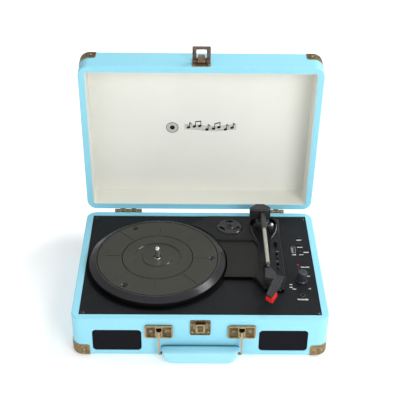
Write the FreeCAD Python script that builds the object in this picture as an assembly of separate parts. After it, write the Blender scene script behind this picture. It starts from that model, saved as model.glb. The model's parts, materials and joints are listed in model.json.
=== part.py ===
import FreeCAD, Part
import math
import os

os.makedirs("parts", exist_ok=True)
V = FreeCAD.Vector

# Frame: origin at the centre of the case footprint, on the plane the feet stand on.
# +X right, +Y back, +Z up. All sizes in mm. Modelled with the lid open.

# ---- case -------------------------------------------------------------------
CASE_X, CASE_Y = 350.0, 254.0
HALF_X, HALF_Y = CASE_X / 2, CASE_Y / 2
FOOT_H, FOOT_R = 3.0, 9.0
BASE_Z0, BASE_Z1 = 3.0, 67.0
LID_Z0, LID_Z1 = 68.0, 111.0
CORNER_R = 15.0
EDGE_R = 3.0
RIM_R = 1.5
WALL = 13.0
RIM_WALL = 10.0
RIM_CORNER_R = 1.2
PLATE_Z0, PLATE_Z1 = 63.5, 66.0
PANEL_T = 3.0
LID_WALL = 9.5
LID_ROOF = 5.5
LINER_T = 1.0
LID_OPEN_DEG = 86.0
HINGE_Y, HINGE_Z = HALF_Y + 3.0, 67.5
METAL_T = 0.8
CAP_REACH, CAP_RISE, CAP_ROUND = 24.0, 18.6, 4.0

# ---- hinges, handle and latch -----------------------------------------------
HINGE_X0, HINGE_X1 = 90.3, 132.6
HINGE_KNUCKLES = 5
KNUCKLE_R, HINGE_PIN_R = 2.6, 1.2
LEAF_T = 1.2
RUN_FIT = 0.05
GAP = 0.3
HANDLE_X = 56.2
HANDLE_PIVOT_Y, HANDLE_PIVOT_Z = -HALF_Y - 1.9, 50.0
HANDLE_PLATE_X, HANDLE_PLATE_Z = 38.0, 21.5
HANDLE_PLATE_MID_Z, HANDLE_PLATE_T = 46.8, 3.2
GRIP_HALF_X, GRIP_Z0, GRIP_Z1 = 53.4, 3.3, 23.0
GRIP_Y0, GRIP_Y1 = -145.0, -129.3
LINK_W, LINK_T = 3.2, 1.4
CATCH_HALF_X, CATCH_Z0, CATCH_Z1 = 13.85, 40.6, 66.4
LATCH_HALF_X, LATCH_Z0, LATCH_Z1 = 13.0, 69.5, 94.0
LEVER_Y, LEVER_Z, LEVER_PIN_R = -HALF_Y - 4.0, 78.0, 1.0
BAIL_Y, BAIL_Z, BAIL_R = -HALF_Y - 4.8, 82.4, 1.1
BAIL_HALF_X, BAIL_REACH, BAIL_STRAP, BAIL_BAR = 13.0, 20.0, 5.8, 4.0
EAR_X0, EAR_X1 = 5.6, 6.8

# ---- platter and drive --------------------------------------------------------
PLATTER_X, PLATTER_Y = -61.4, -5.5
PLATTER_TOP, PLATTER_EDGE_Z, PLATTER_Z0 = 80.0, 74.6, 68.0
PLATTER_R, PLATTER_FLAT_R = 98.6, 89.2
DRUM_R = 58.0
SPINDLE_R, JOURNAL_R, SPINDLE_TOP = 3.55, 3.9, 97.6
MOTOR_DIST, MOTOR_ANGLE = 72.0, 135.0
PULLEY_R = 5.0
SHAFT_R = 1.0
BELT_T = 0.6

# ---- deck -----------------------------------------------------------------------
DECK_TOP, DECK_MID, WELL_FLOOR = 74.0, 71.5, 67.4
DECK_OUTLINE = [(-30.0, 70.0), (-14.8, 86.0), (13.0, 108.0), (114.0, 108.0), (121.3, 101.0),
                (121.3, -52.0), (118.0, -69.0), (90.0, -68.0), (80.0, -47.0), (74.0, -40.0),
                (20.0, -40.0)]
PLATTER_WELL_R = 101.0
ADAPTER_X, ADAPTER_Y, ADAPTER_R = 45.2, 78.2, 19.2
STRIP_X = 112.2
CUE_Y, STOP_Y, SPEED_Y = 35.0, 6.0, -18.0
SLOT_W, SLOT_L = 4.0, 14.0

# ---- tonearm --------------------------------------------------------------------
PIVOT_X, PIVOT_Y = 96.0, 88.0
ARM_X, ARM_Z = 95.6, 91.0
LIFT_Y, LIFT_PIN_R = 92.0, 1.5
TUBE_R, TUBE_Y0, TUBE_Y1 = 2.9, -34.0, 56.0
NECK_W, NECK_H, NECK_Y0, NECK_Y1 = 7.7, 6.8, 50.0, 99.0
HOUSING_Z0, HOUSING_Z1 = 82.0, 98.8
SHELL_X, SHELL_Y, SHELL_ANGLE = 110.1, -61.7, 20.0
SHELL_L, SHELL_HALF_W, SHELL_Z0, SHELL_Z1 = 49.5, 6.2, 86.0, 91.4
TURRET_R = 10.4
CUE_POST_X, CUE_POST_Y, CUE_POST_R = 108.6, 74.4, 3.3

# ---- controls ---------------------------------------------------------------------
KNOB_X, KNOB_Y, KNOB_TOP = 144.6, -42.0, 83.0
KNOB_R0, KNOB_R1 = 8.3, 6.2
BUTTONS = [(149.5, 62.1), (148.7, 45.1), (149.0, 25.3)]
BUTTON_X, BUTTON_Y = 5.4, 3.6
USB_X0, USB_X1, USB_Y0, USB_Y1 = 135.5, 142.2, 24.0, 38.8
JACK_X, JACK_Y, JACK_BORE_R = 142.6, -74.0, 1.75
LED_X, LED_Y = 142.3, -5.0
PCB_Z0, PCB_Z1 = 52.4, 54.0

# ---- speakers and rear panel ---------------------------------------------------------
GRILLE_X0, GRILLE_X1, GRILLE_Z0, GRILLE_Z1, GRILLE_R = 80.0, 147.0, 11.4, 48.0, 5.5
REAR_HALF_X, REAR_Z0, REAR_Z1, REAR_R = 32.0, 18.0, 48.0, 3.0
REAR_FACE_Y = 116.0
RCA_R, RCA_X = 4.15, (-20.0, -4.0)
DC_X = 18.0
REAR_JACK_Z = 33.0


def save(name, shapes):
    """Write one node from one shape or a list of separate solids."""
    items = shapes if isinstance(shapes, list) else [shapes]
    solids = []
    for item in items:
        solids.extend(item.Solids)
    shape = solids[0] if len(solids) == 1 else Part.makeCompound(solids)
    shape.exportStep("parts/" + name + ".step")
    print(name, len(solids), round(shape.Volume))


def box(x0, x1, y0, y1, z0, z1):
    return Part.makeBox(x1 - x0, y1 - y0, z1 - z0, V(x0, y0, z0))


def cyl_x(r, x0, x1, y, z):
    return Part.makeCylinder(r, x1 - x0, V(x0, y, z), V(1, 0, 0))


def cyl_y(r, x, y0, y1, z):
    return Part.makeCylinder(r, y1 - y0, V(x, y0, z), V(0, 1, 0))


def cyl_z(r, x, y, z0, z1):
    return Part.makeCylinder(r, z1 - z0, V(x, y, z0))


def prism(points, z0, z1):
    """Upright prism over a list of (x, y) corners."""
    wire = Part.makePolygon([V(x, y, z0) for x, y in points + points[:1]])
    return Part.Face(wire).extrude(V(0, 0, z1 - z0))


def profile_x(points, x0, x1):
    """Prism along X over a list of (y, z) corners."""
    wire = Part.makePolygon([V(x0, y, z) for y, z in points + points[:1]])
    return Part.Face(wire).extrude(V(x1 - x0, 0, 0))


def turned(points, x, y):
    """Solid of revolution about the vertical line at x, y from (radius, z) corners."""
    wire = Part.makePolygon([V(x + r, y, z) for r, z in points + points[:1]])
    return Part.Face(wire).revolve(V(x, y, 0), V(0, 0, 1), 360)


def turned_y(points, x, z):
    """Solid of revolution about the line along Y at x, z from (radius, y) corners."""
    wire = Part.makePolygon([V(x + r, y, z) for r, y in points + points[:1]])
    return Part.Face(wire).revolve(V(x, 0, z), V(0, 1, 0), 360)


def edges_along(shape, axis):
    found = []
    for edge in shape.Edges:
        if edge.Curve.TypeId == "Part::GeomLine":
            if abs(edge.tangentAt(edge.FirstParameter).dot(axis)) > 0.999:
                found.append(edge)
    return found


def edges_at(shape, z):
    return [e for e in shape.Edges
            if abs(e.BoundBox.ZMin - z) < 1e-3 and abs(e.BoundBox.ZMax - z) < 1e-3]


def rounded(x0, x1, y0, y1, z0, z1, r, axis=V(0, 0, 1)):
    """Block with the four edges along one axis rounded."""
    block = box(x0, x1, y0, y1, z0, z1)
    return block.makeFillet(r, edges_along(block, axis))


def soft_case(grow, z0, z1, r_bottom, r_top):
    """Case outline with rounded plan corners and rounded bottom and top edges."""
    block = rounded(-HALF_X - grow, HALF_X + grow, -HALF_Y - grow, HALF_Y + grow,
                    z0, z1, CORNER_R + grow)
    block = block.makeFillet(r_bottom, edges_at(block, z0))
    return block.makeFillet(r_top, edges_at(block, z1))


def opened(shape):
    """Turn a piece drawn with the lid closed to where it is with the lid open."""
    copy = shape.copy()
    copy.rotate(V(0, HINGE_Y, HINGE_Z), V(1, 0, 0), -LID_OPEN_DEG)
    return copy


def screw_head(r, x, y, z, facing):
    """Low domed screw head with a cross recess, standing on the given point."""
    dome = Part.makeSphere(r * 1.6, V(0, 0, -r * 1.25), V(0, 0, 1))
    head = dome.common(Part.makeCylinder(r, r, V(0, 0, 0)))
    slot = r * 0.22
    for a, b in ((r * 0.6, slot), (slot, r * 0.6)):
        head = head.cut(box(-a, a, -b, b, r * 0.12, r))
    turn = FreeCAD.Rotation(V(0, 0, 1), facing)
    head.Placement = FreeCAD.Placement(V(x, y, z), turn)
    return head


FRONT, BACK, UP = V(0, -1, 0), V(0, 1, 0), V(0, 0, 1)
SIGNS = [(-1, -1), (1, -1), (-1, 1), (1, 1)]


# ---- case body ------------------------------------------------------------------
outer = soft_case(0.0, BASE_Z0, BASE_Z1, EDGE_R, RIM_R)
case = outer.cut(box(-HALF_X + WALL, HALF_X - WALL, -HALF_Y + WALL, HALF_Y - WALL,
                     BASE_Z0 - 1, PLATE_Z0))
case = case.cut(rounded(-HALF_X + RIM_WALL, HALF_X - RIM_WALL, -HALF_Y + RIM_WALL,
                        HALF_Y - RIM_WALL + 0.5, PLATE_Z0, BASE_Z1 + 1, RIM_CORNER_R))
for side in (-1, 1):
    x0, x1 = sorted((side * GRILLE_X0, side * GRILLE_X1))
    case = case.cut(rounded(x0, x1, -HALF_Y - 1, -HALF_Y + WALL + 1, GRILLE_Z0, GRILLE_Z1,
                            GRILLE_R, V(0, 1, 0)))
case = case.cut(rounded(-REAR_HALF_X, REAR_HALF_X, HALF_Y - WALL - 1, HALF_Y + 1,
                        REAR_Z0, REAR_Z1, REAR_R, V(0, 1, 0)))
save("base_case", case)

panel = box(-HALF_X + WALL, HALF_X - WALL, -HALF_Y + WALL, HALF_Y - WALL, BASE_Z0, BASE_Z0 + PANEL_T)
for i in range(-4, 5):
    panel = panel.cut(rounded(i * 8.0 - 1.6, i * 8.0 + 1.6, -20, 20, BASE_Z0 - 1,
                              BASE_Z0 + PANEL_T + 1, 1.5))
save("bottom_panel", panel)

feet = []
for sx, sy in SIGNS:
    foot = turned([(0, 0), (FOOT_R - 0.8, 0), (FOOT_R, 0.8), (FOOT_R, FOOT_H), (0, FOOT_H)],
                  sx * 140.0, sy * 98.0)
    feet.append(foot)
save("feet", feet)


def corner_pieces(z0, z1, r_bottom, r_top, corner_z, rise):
    """Four pressed sheet corners, each with three flaps whose free corners are rounded."""
    skin = soft_case(METAL_T, z0 - METAL_T, z1 + METAL_T, r_bottom + METAL_T, r_top + METAL_T)
    skin = skin.cut(soft_case(0.0, z0, z1, r_bottom, r_top))
    pieces = []
    for sx, sy in SIGNS:
        x0, x1 = sorted((sx * (HALF_X - CAP_REACH), sx * (HALF_X + 2.0)))
        y0, y1 = sorted((sy * (HALF_Y - CAP_REACH), sy * (HALF_Y + 2.0)))
        lo, hi = sorted((corner_z - math.copysign(2.0, rise), corner_z + rise))
        reach = box(x0, x1, y0, y1, lo, hi)
        inner_x, inner_y = sx * (HALF_X - CAP_REACH), sy * (HALF_Y - CAP_REACH)
        inner_z = corner_z + rise
        upright = [e for e in edges_along(reach, V(0, 0, 1))
                   if abs(e.BoundBox.XMin - inner_x) < 0.01 and abs(e.BoundBox.YMin - inner_y) < 0.01]
        level = [e for e in edges_at(reach, inner_z)
                 if abs(e.BoundBox.XMin - inner_x) + e.BoundBox.XLength < 0.01
                 or abs(e.BoundBox.YMin - inner_y) + e.BoundBox.YLength < 0.01]
        reach = reach.makeFillet(CAP_ROUND, upright + level)
        pieces.append(skin.common(reach))
    return pieces


def corner_nails(z):
    """One round nail on each of the two upright faces of every corner."""
    nails = []
    for sx, sy in SIGNS:
        for x, y, facing in ((sx * (HALF_X - 16.0), sy * (HALF_Y + METAL_T), V(0, sy, 0)),
                             (sx * (HALF_X + METAL_T), sy * (HALF_Y - 16.0), V(sx, 0, 0))):
            dome = Part.makeSphere(2.2, V(x, y, z) - facing * 1.4)
            nails.append(dome.common(Part.makeCylinder(1.8, 2.0, V(x, y, z), facing)))
    return nails


save("base_corners", corner_pieces(BASE_Z0, BASE_Z1, EDGE_R, RIM_R, BASE_Z0, CAP_RISE))
save("base_nails", corner_nails(BASE_Z0 + 9.0))

# ---- top plate --------------------------------------------------------------------
MOTOR_X = PLATTER_X + MOTOR_DIST * math.cos(math.radians(MOTOR_ANGLE))
MOTOR_Y = PLATTER_Y + MOTOR_DIST * math.sin(math.radians(MOTOR_ANGLE))
plate = rounded(-HALF_X + RIM_WALL + 0.3, HALF_X - RIM_WALL - 0.3, -HALF_Y + RIM_WALL + 0.3,
                HALF_Y - RIM_WALL + 0.2, PLATE_Z0, PLATE_Z1, RIM_CORNER_R)
holes = [(4.6, PLATTER_X, PLATTER_Y), (7.0, MOTOR_X, MOTOR_Y), (8.8, PIVOT_X, PIVOT_Y),
         (3.6, KNOB_X, KNOB_Y), (3.6, JACK_X, JACK_Y), (1.5, LED_X, LED_Y),
         (2.6, CUE_POST_X, CUE_POST_Y)]
for r, x, y in holes:
    plate = plate.cut(cyl_z(r, x, y, PLATE_Z0 - 1, PLATE_Z1 + 1))
for x, y in BUTTONS:
    plate = plate.cut(rounded(x - BUTTON_X / 2 - GAP, x + BUTTON_X / 2 + GAP, y - BUTTON_Y / 2 - GAP,
                              y + BUTTON_Y / 2 + GAP, PLATE_Z0 - 1, PLATE_Z1 + 1, 0.9))
plate = plate.cut(rounded(USB_X0, USB_X1, USB_Y0, USB_Y1, PLATE_Z0 - 1, PLATE_Z1 + 1, 1.6))
save("top_plate", plate)
save("plate_screws", [screw_head(3.2, sx * 160.5, sy * 111.5, PLATE_Z1, UP) for sx, sy in SIGNS])

# ---- deck moulding -----------------------------------------------------------------
deck = prism(DECK_OUTLINE, PLATE_Z1, DECK_TOP)
deck = deck.makeFillet(4.0, [e for e in edges_along(deck, V(0, 0, 1)) if e.BoundBox.XMin > 60
                             and abs(e.BoundBox.YMin + 40) > 1])
deck = deck.makeChamfer(1.6, edges_at(deck, DECK_TOP))
deck = deck.cut(cyl_z(PLATTER_WELL_R, PLATTER_X, PLATTER_Y, PLATE_Z1 - 1, DECK_TOP + 1))
deck = deck.cut(prism([(0.0, 46.0), (80.0, 46.0), (87.0, 30.0), (87.0, -26.0), (80.0, -34.0),
                       (0.0, -34.0)], DECK_MID, DECK_TOP + 1))
deck = deck.cut(prism([(0.0, -34.0), (80.0, -34.0), (80.0, -42.0), (0.0, -42.0)], DECK_MID,
                      DECK_TOP + 1))
boss = cyl_z(8.5, PIVOT_X, PIVOT_Y, PLATE_Z0 - 6.0, WELL_FLOOR)
well = cyl_z(20.3, PIVOT_X + 0.9, PIVOT_Y - 1.0, WELL_FLOOR, DECK_TOP + 1)
well = well.fuse(prism([(76.8, 84.0), (79.0, 66.0), (86.5, 40.0), (87.5, 14.0), (103.0, 14.0),
                        (104.5, 44.0), (113.0, 62.0), (117.0, 84.0)], WELL_FLOOR, DECK_TOP + 1))
deck = deck.cut(well).fuse(boss)
deck = deck.cut(cyl_z(4.0 + RUN_FIT, PIVOT_X, PIVOT_Y, PLATE_Z0 - 10.0, DECK_TOP))
deck = deck.cut(cyl_z(2.0 + RUN_FIT, CUE_POST_X, CUE_POST_Y, PLATE_Z1 - 1, DECK_TOP))
deck = deck.cut(cyl_z(ADAPTER_R + 0.8, ADAPTER_X, ADAPTER_Y, PLATE_Z1 + 1.5, DECK_TOP + 1))
seat_pin = cyl_z(3.4, ADAPTER_X, ADAPTER_Y, PLATE_Z1 + 1.5, DECK_TOP + 3.0)
deck = deck.fuse(seat_pin)
for y in (CUE_Y, STOP_Y, SPEED_Y):
    deck = deck.cut(rounded(STRIP_X - SLOT_W / 2, STRIP_X + SLOT_W / 2, y - SLOT_L / 2, y + SLOT_L / 2,
                            PLATE_Z1 + 1.0, DECK_TOP + 1, 1.5))
CUE_PIN_R, CUE_PIN_Z = 1.2, 70.4
deck = deck.cut(cyl_x(CUE_PIN_R + RUN_FIT, STRIP_X - 4.4, STRIP_X + 4.4, CUE_Y, CUE_PIN_Z))
deck = deck.removeSplitter()
save("deck_moulding", deck)

rest = box(ARM_X - 2.8, ARM_X + 2.8, -26.0, -19.0, DECK_TOP, ARM_Z - TUBE_R - GAP)
rest = rest.fuse(box(ARM_X - 5.0, ARM_X + 5.0, -28.0, -17.0, DECK_TOP, DECK_TOP + 1.6))
save("arm_rest", rest)

# ---- spindle, platter, motor and belt ---------------------------------------------------
DISH_R, BOSS_R, HUB_R, HOLE_R = 34.0, 21.0, 5.6, 4.6
DISH_Z, BOSS_Z = PLATTER_TOP - 1.2, PLATTER_TOP - 0.1
BUSH_R, HUB_FLOOR = 7.0, 78.0
spindle = turned([(0, 57.0), (4.4, 57.0), (4.4, 61.0), (10.0, 61.0), (10.0, PLATE_Z0),
                  (4.4, PLATE_Z0), (4.4, 67.0), (6.0, 67.0), (6.0, PLATTER_Z0 + 0.7),
                  (JOURNAL_R, PLATTER_Z0 + 0.7), (JOURNAL_R, HUB_FLOOR + 0.6),
                  (SPINDLE_R, HUB_FLOOR + 0.6), (SPINDLE_R, SPINDLE_TOP - 3.2),
                  (SPINDLE_R * 0.86, SPINDLE_TOP - 1.5), (SPINDLE_R * 0.5, SPINDLE_TOP - 0.4),
                  (0, SPINDLE_TOP)], PLATTER_X, PLATTER_Y)
save("spindle", spindle)

platter = turned([(BUSH_R, 69.0), (12.0, 69.0), (12.0, 77.0), (DRUM_R - 3.0, 77.0),
                  (DRUM_R - 3.0, 70.2), (DRUM_R, 70.2), (DRUM_R, 77.0), (93.0, 77.0), (95.2, 74.6),
                  (95.2, PLATTER_Z0), (97.2, PLATTER_Z0), (PLATTER_R, 70.0),
                  (PLATTER_R, PLATTER_EDGE_Z - 0.6), (PLATTER_R - 0.6, PLATTER_EDGE_Z + 0.2),
                  (PLATTER_FLAT_R + 0.6, PLATTER_TOP - 0.2), (PLATTER_FLAT_R, PLATTER_TOP),
                  (DISH_R, PLATTER_TOP), (DISH_R - 1.2, DISH_Z), (BOSS_R + 1.1, DISH_Z),
                 (BOSS_R, BOSS_Z), (HUB_R, BOSS_Z), (HOLE_R, BOSS_Z - 0.8),
                 (HOLE_R, HUB_FLOOR + 0.4), (BUSH_R, HUB_FLOOR + 0.4)],
                 PLATTER_X, PLATTER_Y)
for ring_r, ring_w, ring_d in ((51.0, 0.8, 0.7), (87.0, 0.8, 0.6)):
    platter = platter.cut(turned([(ring_r - ring_w, PLATTER_TOP + 0.1),
                                  (ring_r, PLATTER_TOP - ring_d),
                                  (ring_r + ring_w, PLATTER_TOP + 0.1)], PLATTER_X, PLATTER_Y))
for i in range(8):
    reach = 74.0 if i % 2 == 0 else 86.0
    rib = box(54.0, reach, -0.5, 0.5, PLATTER_TOP - 0.4, PLATTER_TOP + 0.5)
    rib.rotate(V(0, 0, 0), V(0, 0, 1), -2.0 + 45.0 * i)
    rib.translate(V(PLATTER_X, PLATTER_Y, 0))
    platter = platter.cut(rib)
for angle in (-2.0, 117.0, 236.0):
    x = PLATTER_X + 78.5 * math.cos(math.radians(angle))
    y = PLATTER_Y + 78.5 * math.sin(math.radians(angle))
    platter = platter.cut(turned([(0, PLATTER_TOP - 1.2), (3.2, PLATTER_TOP - 1.2),
                                  (5.2, PLATTER_TOP + 0.1), (0, PLATTER_TOP + 0.1)], x, y))
    platter = platter.cut(cyl_z(1.7, x, y, 70.0, PLATTER_TOP))
save("platter", platter)
save("platter_bush", turned([(JOURNAL_R + RUN_FIT, 69.0), (BUSH_R, 69.0), (BUSH_R, HUB_FLOOR + 0.4),
                             (JOURNAL_R + RUN_FIT, HUB_FLOOR + 0.4)], PLATTER_X, PLATTER_Y))

motor = turned([(SHAFT_R + RUN_FIT, 48.0), (0, 48.0), (0, 38.0), (15.0, 38.0), (16.0, 39.0),
                (16.0, 61.5), (20.0, 61.5), (20.0, PLATE_Z0), (SHAFT_R + RUN_FIT, PLATE_Z0)],
               MOTOR_X, MOTOR_Y)
save("motor", motor)
pulley = turned([(0, 49.0), (SHAFT_R, 49.0), (SHAFT_R, 68.4), (6.2, 68.4), (6.2, 69.4),
                 (PULLEY_R, 69.8), (PULLEY_R, 74.6), (6.2, 75.0), (6.2, 75.8), (0, 75.8)],
                MOTOR_X, MOTOR_Y)
save("motor_pulley", pulley)


def belt_loop(grow, z0, z1):
    """Taut outline round the drum and the pulley, grown by one distance."""
    r1, r2 = DRUM_R + grow, PULLEY_R + grow
    face = math.radians(MOTOR_ANGLE)
    lean = math.acos((r1 - r2) / MOTOR_DIST)
    points = []
    for cx, cy, r, turn in ((PLATTER_X, PLATTER_Y, r1, lean), (MOTOR_X, MOTOR_Y, r2, lean),
                            (MOTOR_X, MOTOR_Y, r2, -lean), (PLATTER_X, PLATTER_Y, r1, -lean)):
        points.append((cx + r * math.cos(face + turn), cy + r * math.sin(face + turn)))
    loop = prism(points, z0, z1)
    loop = loop.fuse(cyl_z(r1, PLATTER_X, PLATTER_Y, z0, z1))
    return loop.fuse(cyl_z(r2, MOTOR_X, MOTOR_Y, z0, z1))


save("drive_belt", belt_loop(GAP + BELT_T, 70.4, 74.2).cut(belt_loop(GAP, 70.0, 75.0)))

# ---- speakers -------------------------------------------------------------------------
frames, cones, baffles, cloths = [], [], [], []
SPEAKER_Z = (GRILLE_Z0 + GRILLE_Z1) / 2
BAFFLE_Y0, BAFFLE_Y1 = -HALF_Y + 2.0, -HALF_Y + 6.0
for side in (-1, 1):
    x0, x1 = sorted((side * (GRILLE_X0 + GAP), side * (GRILLE_X1 - GAP)))
    mid = (x0 + x1) / 2
    cloths.append(rounded(x0, x1, -HALF_Y + 0.8, BAFFLE_Y0, GRILLE_Z0 + GAP, GRILLE_Z1 - GAP,
                          GRILLE_R, V(0, 1, 0)))
    board = rounded(x0, x1, BAFFLE_Y0, BAFFLE_Y1, GRILLE_Z0 + GAP, GRILLE_Z1 - GAP, GRILLE_R,
                    V(0, 1, 0))
    baffles.append(board.cut(cyl_y(14.5, mid, BAFFLE_Y0 - 1, BAFFLE_Y1 + 1, SPEAKER_Z)))
    y = BAFFLE_Y1
    frames.append(turned_y([(14.6, y), (17.4, y), (17.4, y + 1.4), (15.6, y + 1.4), (10.6, y + 13.0),
                            (12.6, y + 13.0), (12.6, y + 22.0), (0, y + 22.0), (0, y + 12.6),
                            (9.6, y + 12.6), (14.6, y + 1.2)], mid, SPEAKER_Z))
    cones.append(turned_y([(13.9, y + 0.4), (14.4, y + 0.9), (5.0, y + 9.4), (0, y + 7.4),
                           (0, y + 6.8), (4.4, y + 8.2)], mid, SPEAKER_Z))
save("speakers", frames)
save("speaker_cones", cones)
save("speaker_baffles", baffles)
save("grille_cloths", cloths)

# ---- electronics --------------------------------------------------------------------------
board = [box(127.0, 159.0, -86.0, 72.0, PCB_Z0, PCB_Z1)]
for x, y in BUTTONS:
    board[0] = board[0].fuse(box(x - 3.0, x + 3.0, y - 3.0, y + 3.0, PCB_Z1, 60.4))
for x, y in ((130.0, -82.0), (156.0, -82.0), (130.0, 68.0), (156.0, 68.0)):
    board[0] = board[0].fuse(cyl_z(2.4, x, y, PCB_Z1, PLATE_Z0))
save("main_pcb", board)

pot = cyl_z(8.0, KNOB_X, KNOB_Y, PCB_Z1, 61.5).fuse(cyl_z(3.6, KNOB_X, KNOB_Y, 61.5, PLATE_Z1))
save("volume_pot", pot.cut(cyl_z(3.0 + RUN_FIT, KNOB_X, KNOB_Y, 56.0, PLATE_Z1 + 1)))

USB_WALL = 0.6
usb = rounded(USB_X0, USB_X1, USB_Y0, USB_Y1, PCB_Z1, PLATE_Z1 + 0.5, 1.6)
usb = usb.cut(rounded(USB_X0 + USB_WALL, USB_X1 - USB_WALL, USB_Y0 + USB_WALL, USB_Y1 - USB_WALL,
                      PCB_Z1 + 1.0, PLATE_Z1 + 1, 1.0))
tongue = box(USB_X0 + 1.4, USB_X0 + 3.2, USB_Y0 + 2.0, USB_Y1 - 2.0, PCB_Z1 + 1.0, PLATE_Z1 - 0.6)
save("usb_port", [usb, tongue])

jack = box(JACK_X - 5.5, JACK_X + 5.5, JACK_Y - 6.5, JACK_Y + 6.5, PCB_Z1, PLATE_Z0)
jack = jack.fuse(cyl_z(3.6, JACK_X, JACK_Y, PLATE_Z0, PLATE_Z1))
jack = jack.fuse(turned([(0, PLATE_Z1), (4.6, PLATE_Z1), (4.6, PLATE_Z1 + 0.5), (4.1, PLATE_Z1 + 1.0),
                         (0, PLATE_Z1 + 1.0)], JACK_X, JACK_Y))
JACK_DEPTH = 12.0
jack = jack.cut(cyl_z(JACK_BORE_R, JACK_X, JACK_Y, PLATE_Z1 + 1.0 - JACK_DEPTH, PLATE_Z1 + 2))
save("headphone_jack", jack)
led = cyl_z(1.5, LED_X, LED_Y, PLATE_Z0, PLATE_Z1).fuse(
    Part.makeSphere(1.5, V(LED_X, LED_Y, PLATE_Z1)).common(
        box(LED_X - 2, LED_X + 2, LED_Y - 2, LED_Y + 2, PLATE_Z1, PLATE_Z1 + 2)))
save("power_led", led)

# ---- rear jack panel -------------------------------------------------------------------------
rear = rounded(-REAR_HALF_X, REAR_HALF_X, REAR_FACE_Y - 2.0, REAR_FACE_Y, REAR_Z0, REAR_Z1, REAR_R,
               V(0, 1, 0))
for x in RCA_X:
    rear = rear.cut(cyl_y(3.0, x, 110.0, 120.0, REAR_JACK_Z))
rear = rear.cut(cyl_y(4.0, DC_X, 110.0, 120.0, REAR_JACK_Z))
save("rear_panel", rear)
rca = []
for x in RCA_X:
    tube = turned_y([(1.6, 106.0), (3.0, 106.0), (3.0, REAR_FACE_Y), (5.4, REAR_FACE_Y),
                     (5.4, REAR_FACE_Y + 1.0), (RCA_R, REAR_FACE_Y + 1.0), (RCA_R, 125.6),
                     (1.6, 125.6)], x, REAR_JACK_Z)
    rca.append(tube)
save("rca_jacks", rca)
dc = turned_y([(1.0, 105.0), (4.0, 105.0), (4.0, REAR_FACE_Y), (5.5, REAR_FACE_Y),
               (5.5, REAR_FACE_Y + 1.6), (2.8, REAR_FACE_Y + 1.6), (2.8, 107.0), (1.0, 107.0)],
              DC_X, REAR_JACK_Z)
pin = cyl_y(1.0, DC_X, 105.0, REAR_FACE_Y, REAR_JACK_Z)
save("dc_inlet", dc.fuse(pin))

# ---- hinges ----------------------------------------------------------------------------------
KNUCKLE_W = (HINGE_X1 - HINGE_X0) / HINGE_KNUCKLES


def hinge_leaf(side, own, z_far, z_near, bore_r):
    """One leaf with its own share of the knuckles round the hinge pin."""
    x0, x1 = sorted((side * HINGE_X0, side * HINGE_X1))
    lo, hi = sorted((z_far, z_near))
    leaf = rounded(x0, x1, HALF_Y, HALF_Y + LEAF_T, lo, hi, 2.0, V(0, 1, 0))
    for i in own:
        k0 = x0 + i * KNUCKLE_W + GAP / 2
        k1 = x0 + (i + 1) * KNUCKLE_W - GAP / 2
        lo, hi = sorted(((z_far + z_near) / 2, HINGE_Z))
        leaf = leaf.fuse(box(k0, k1, HALF_Y, HALF_Y + LEAF_T, lo, hi))
        leaf = leaf.fuse(cyl_x(KNUCKLE_R, k0, k1, HINGE_Y, HINGE_Z))
    return leaf.cut(cyl_x(bore_r, x0 - 1, x1 + 1, HINGE_Y, HINGE_Z))


BASE_LEAF_Z, LID_LEAF_Z = 49.0, 86.0
save("hinge_base_leaves", [hinge_leaf(s, (0, 2, 4), BASE_LEAF_Z, 64.2, HINGE_PIN_R) for s in (-1, 1)])
save("hinge_pins", [cyl_x(HINGE_PIN_R, min(s * HINGE_X0, s * HINGE_X1), max(s * HINGE_X0, s * HINGE_X1),
                          HINGE_Y, HINGE_Z) for s in (-1, 1)])
save("hinge_lid_leaves", [opened(hinge_leaf(s, (1, 3), LID_LEAF_Z, 70.8, HINGE_PIN_R + RUN_FIT))
                          for s in (-1, 1)])
leaf_screw_x = [s * x for s in (-1, 1) for x in (98.0, 111.4, 125.0)]
LEAF_FACE = HALF_Y + LEAF_T
lid_screws = [opened(screw_head(2.4, x, LEAF_FACE, 79.5, BACK)) for x in leaf_screw_x]

# ---- handle plates, catch and their screws -----------------------------------------------------
handle_plates = []
for side in (-1, 1):
    x = side * HANDLE_X
    z0 = HANDLE_PLATE_MID_Z - HANDLE_PLATE_Z / 2
    z1 = HANDLE_PLATE_MID_Z + HANDLE_PLATE_Z / 2
    y0 = -HALF_Y - HANDLE_PLATE_T
    item = rounded(x - HANDLE_PLATE_X / 2, x + HANDLE_PLATE_X / 2, y0, -HALF_Y, z0, z1, 3.4, V(0, 1, 0))
    for a, b in ((-17.2, -4.6), (4.6, 17.2)):
        item = item.cut(rounded(x + a, x + b, y0 - 1, y0 + 1.2, z0 + 1.8, z1 - 1.8, 2.0, V(0, 1, 0)))
    item = item.cut(box(x - 3.9, x + 3.9, y0 - 1, -HALF_Y, HANDLE_PIVOT_Z - 2.2, HANDLE_PIVOT_Z + 4.0))
    item = item.cut(box(x - 2.1, x + 2.1, y0 - 1, -HALF_Y, z0 - 1, HANDLE_PIVOT_Z))
    handle_plates.append(item)
save("handle_plates", handle_plates)

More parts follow.
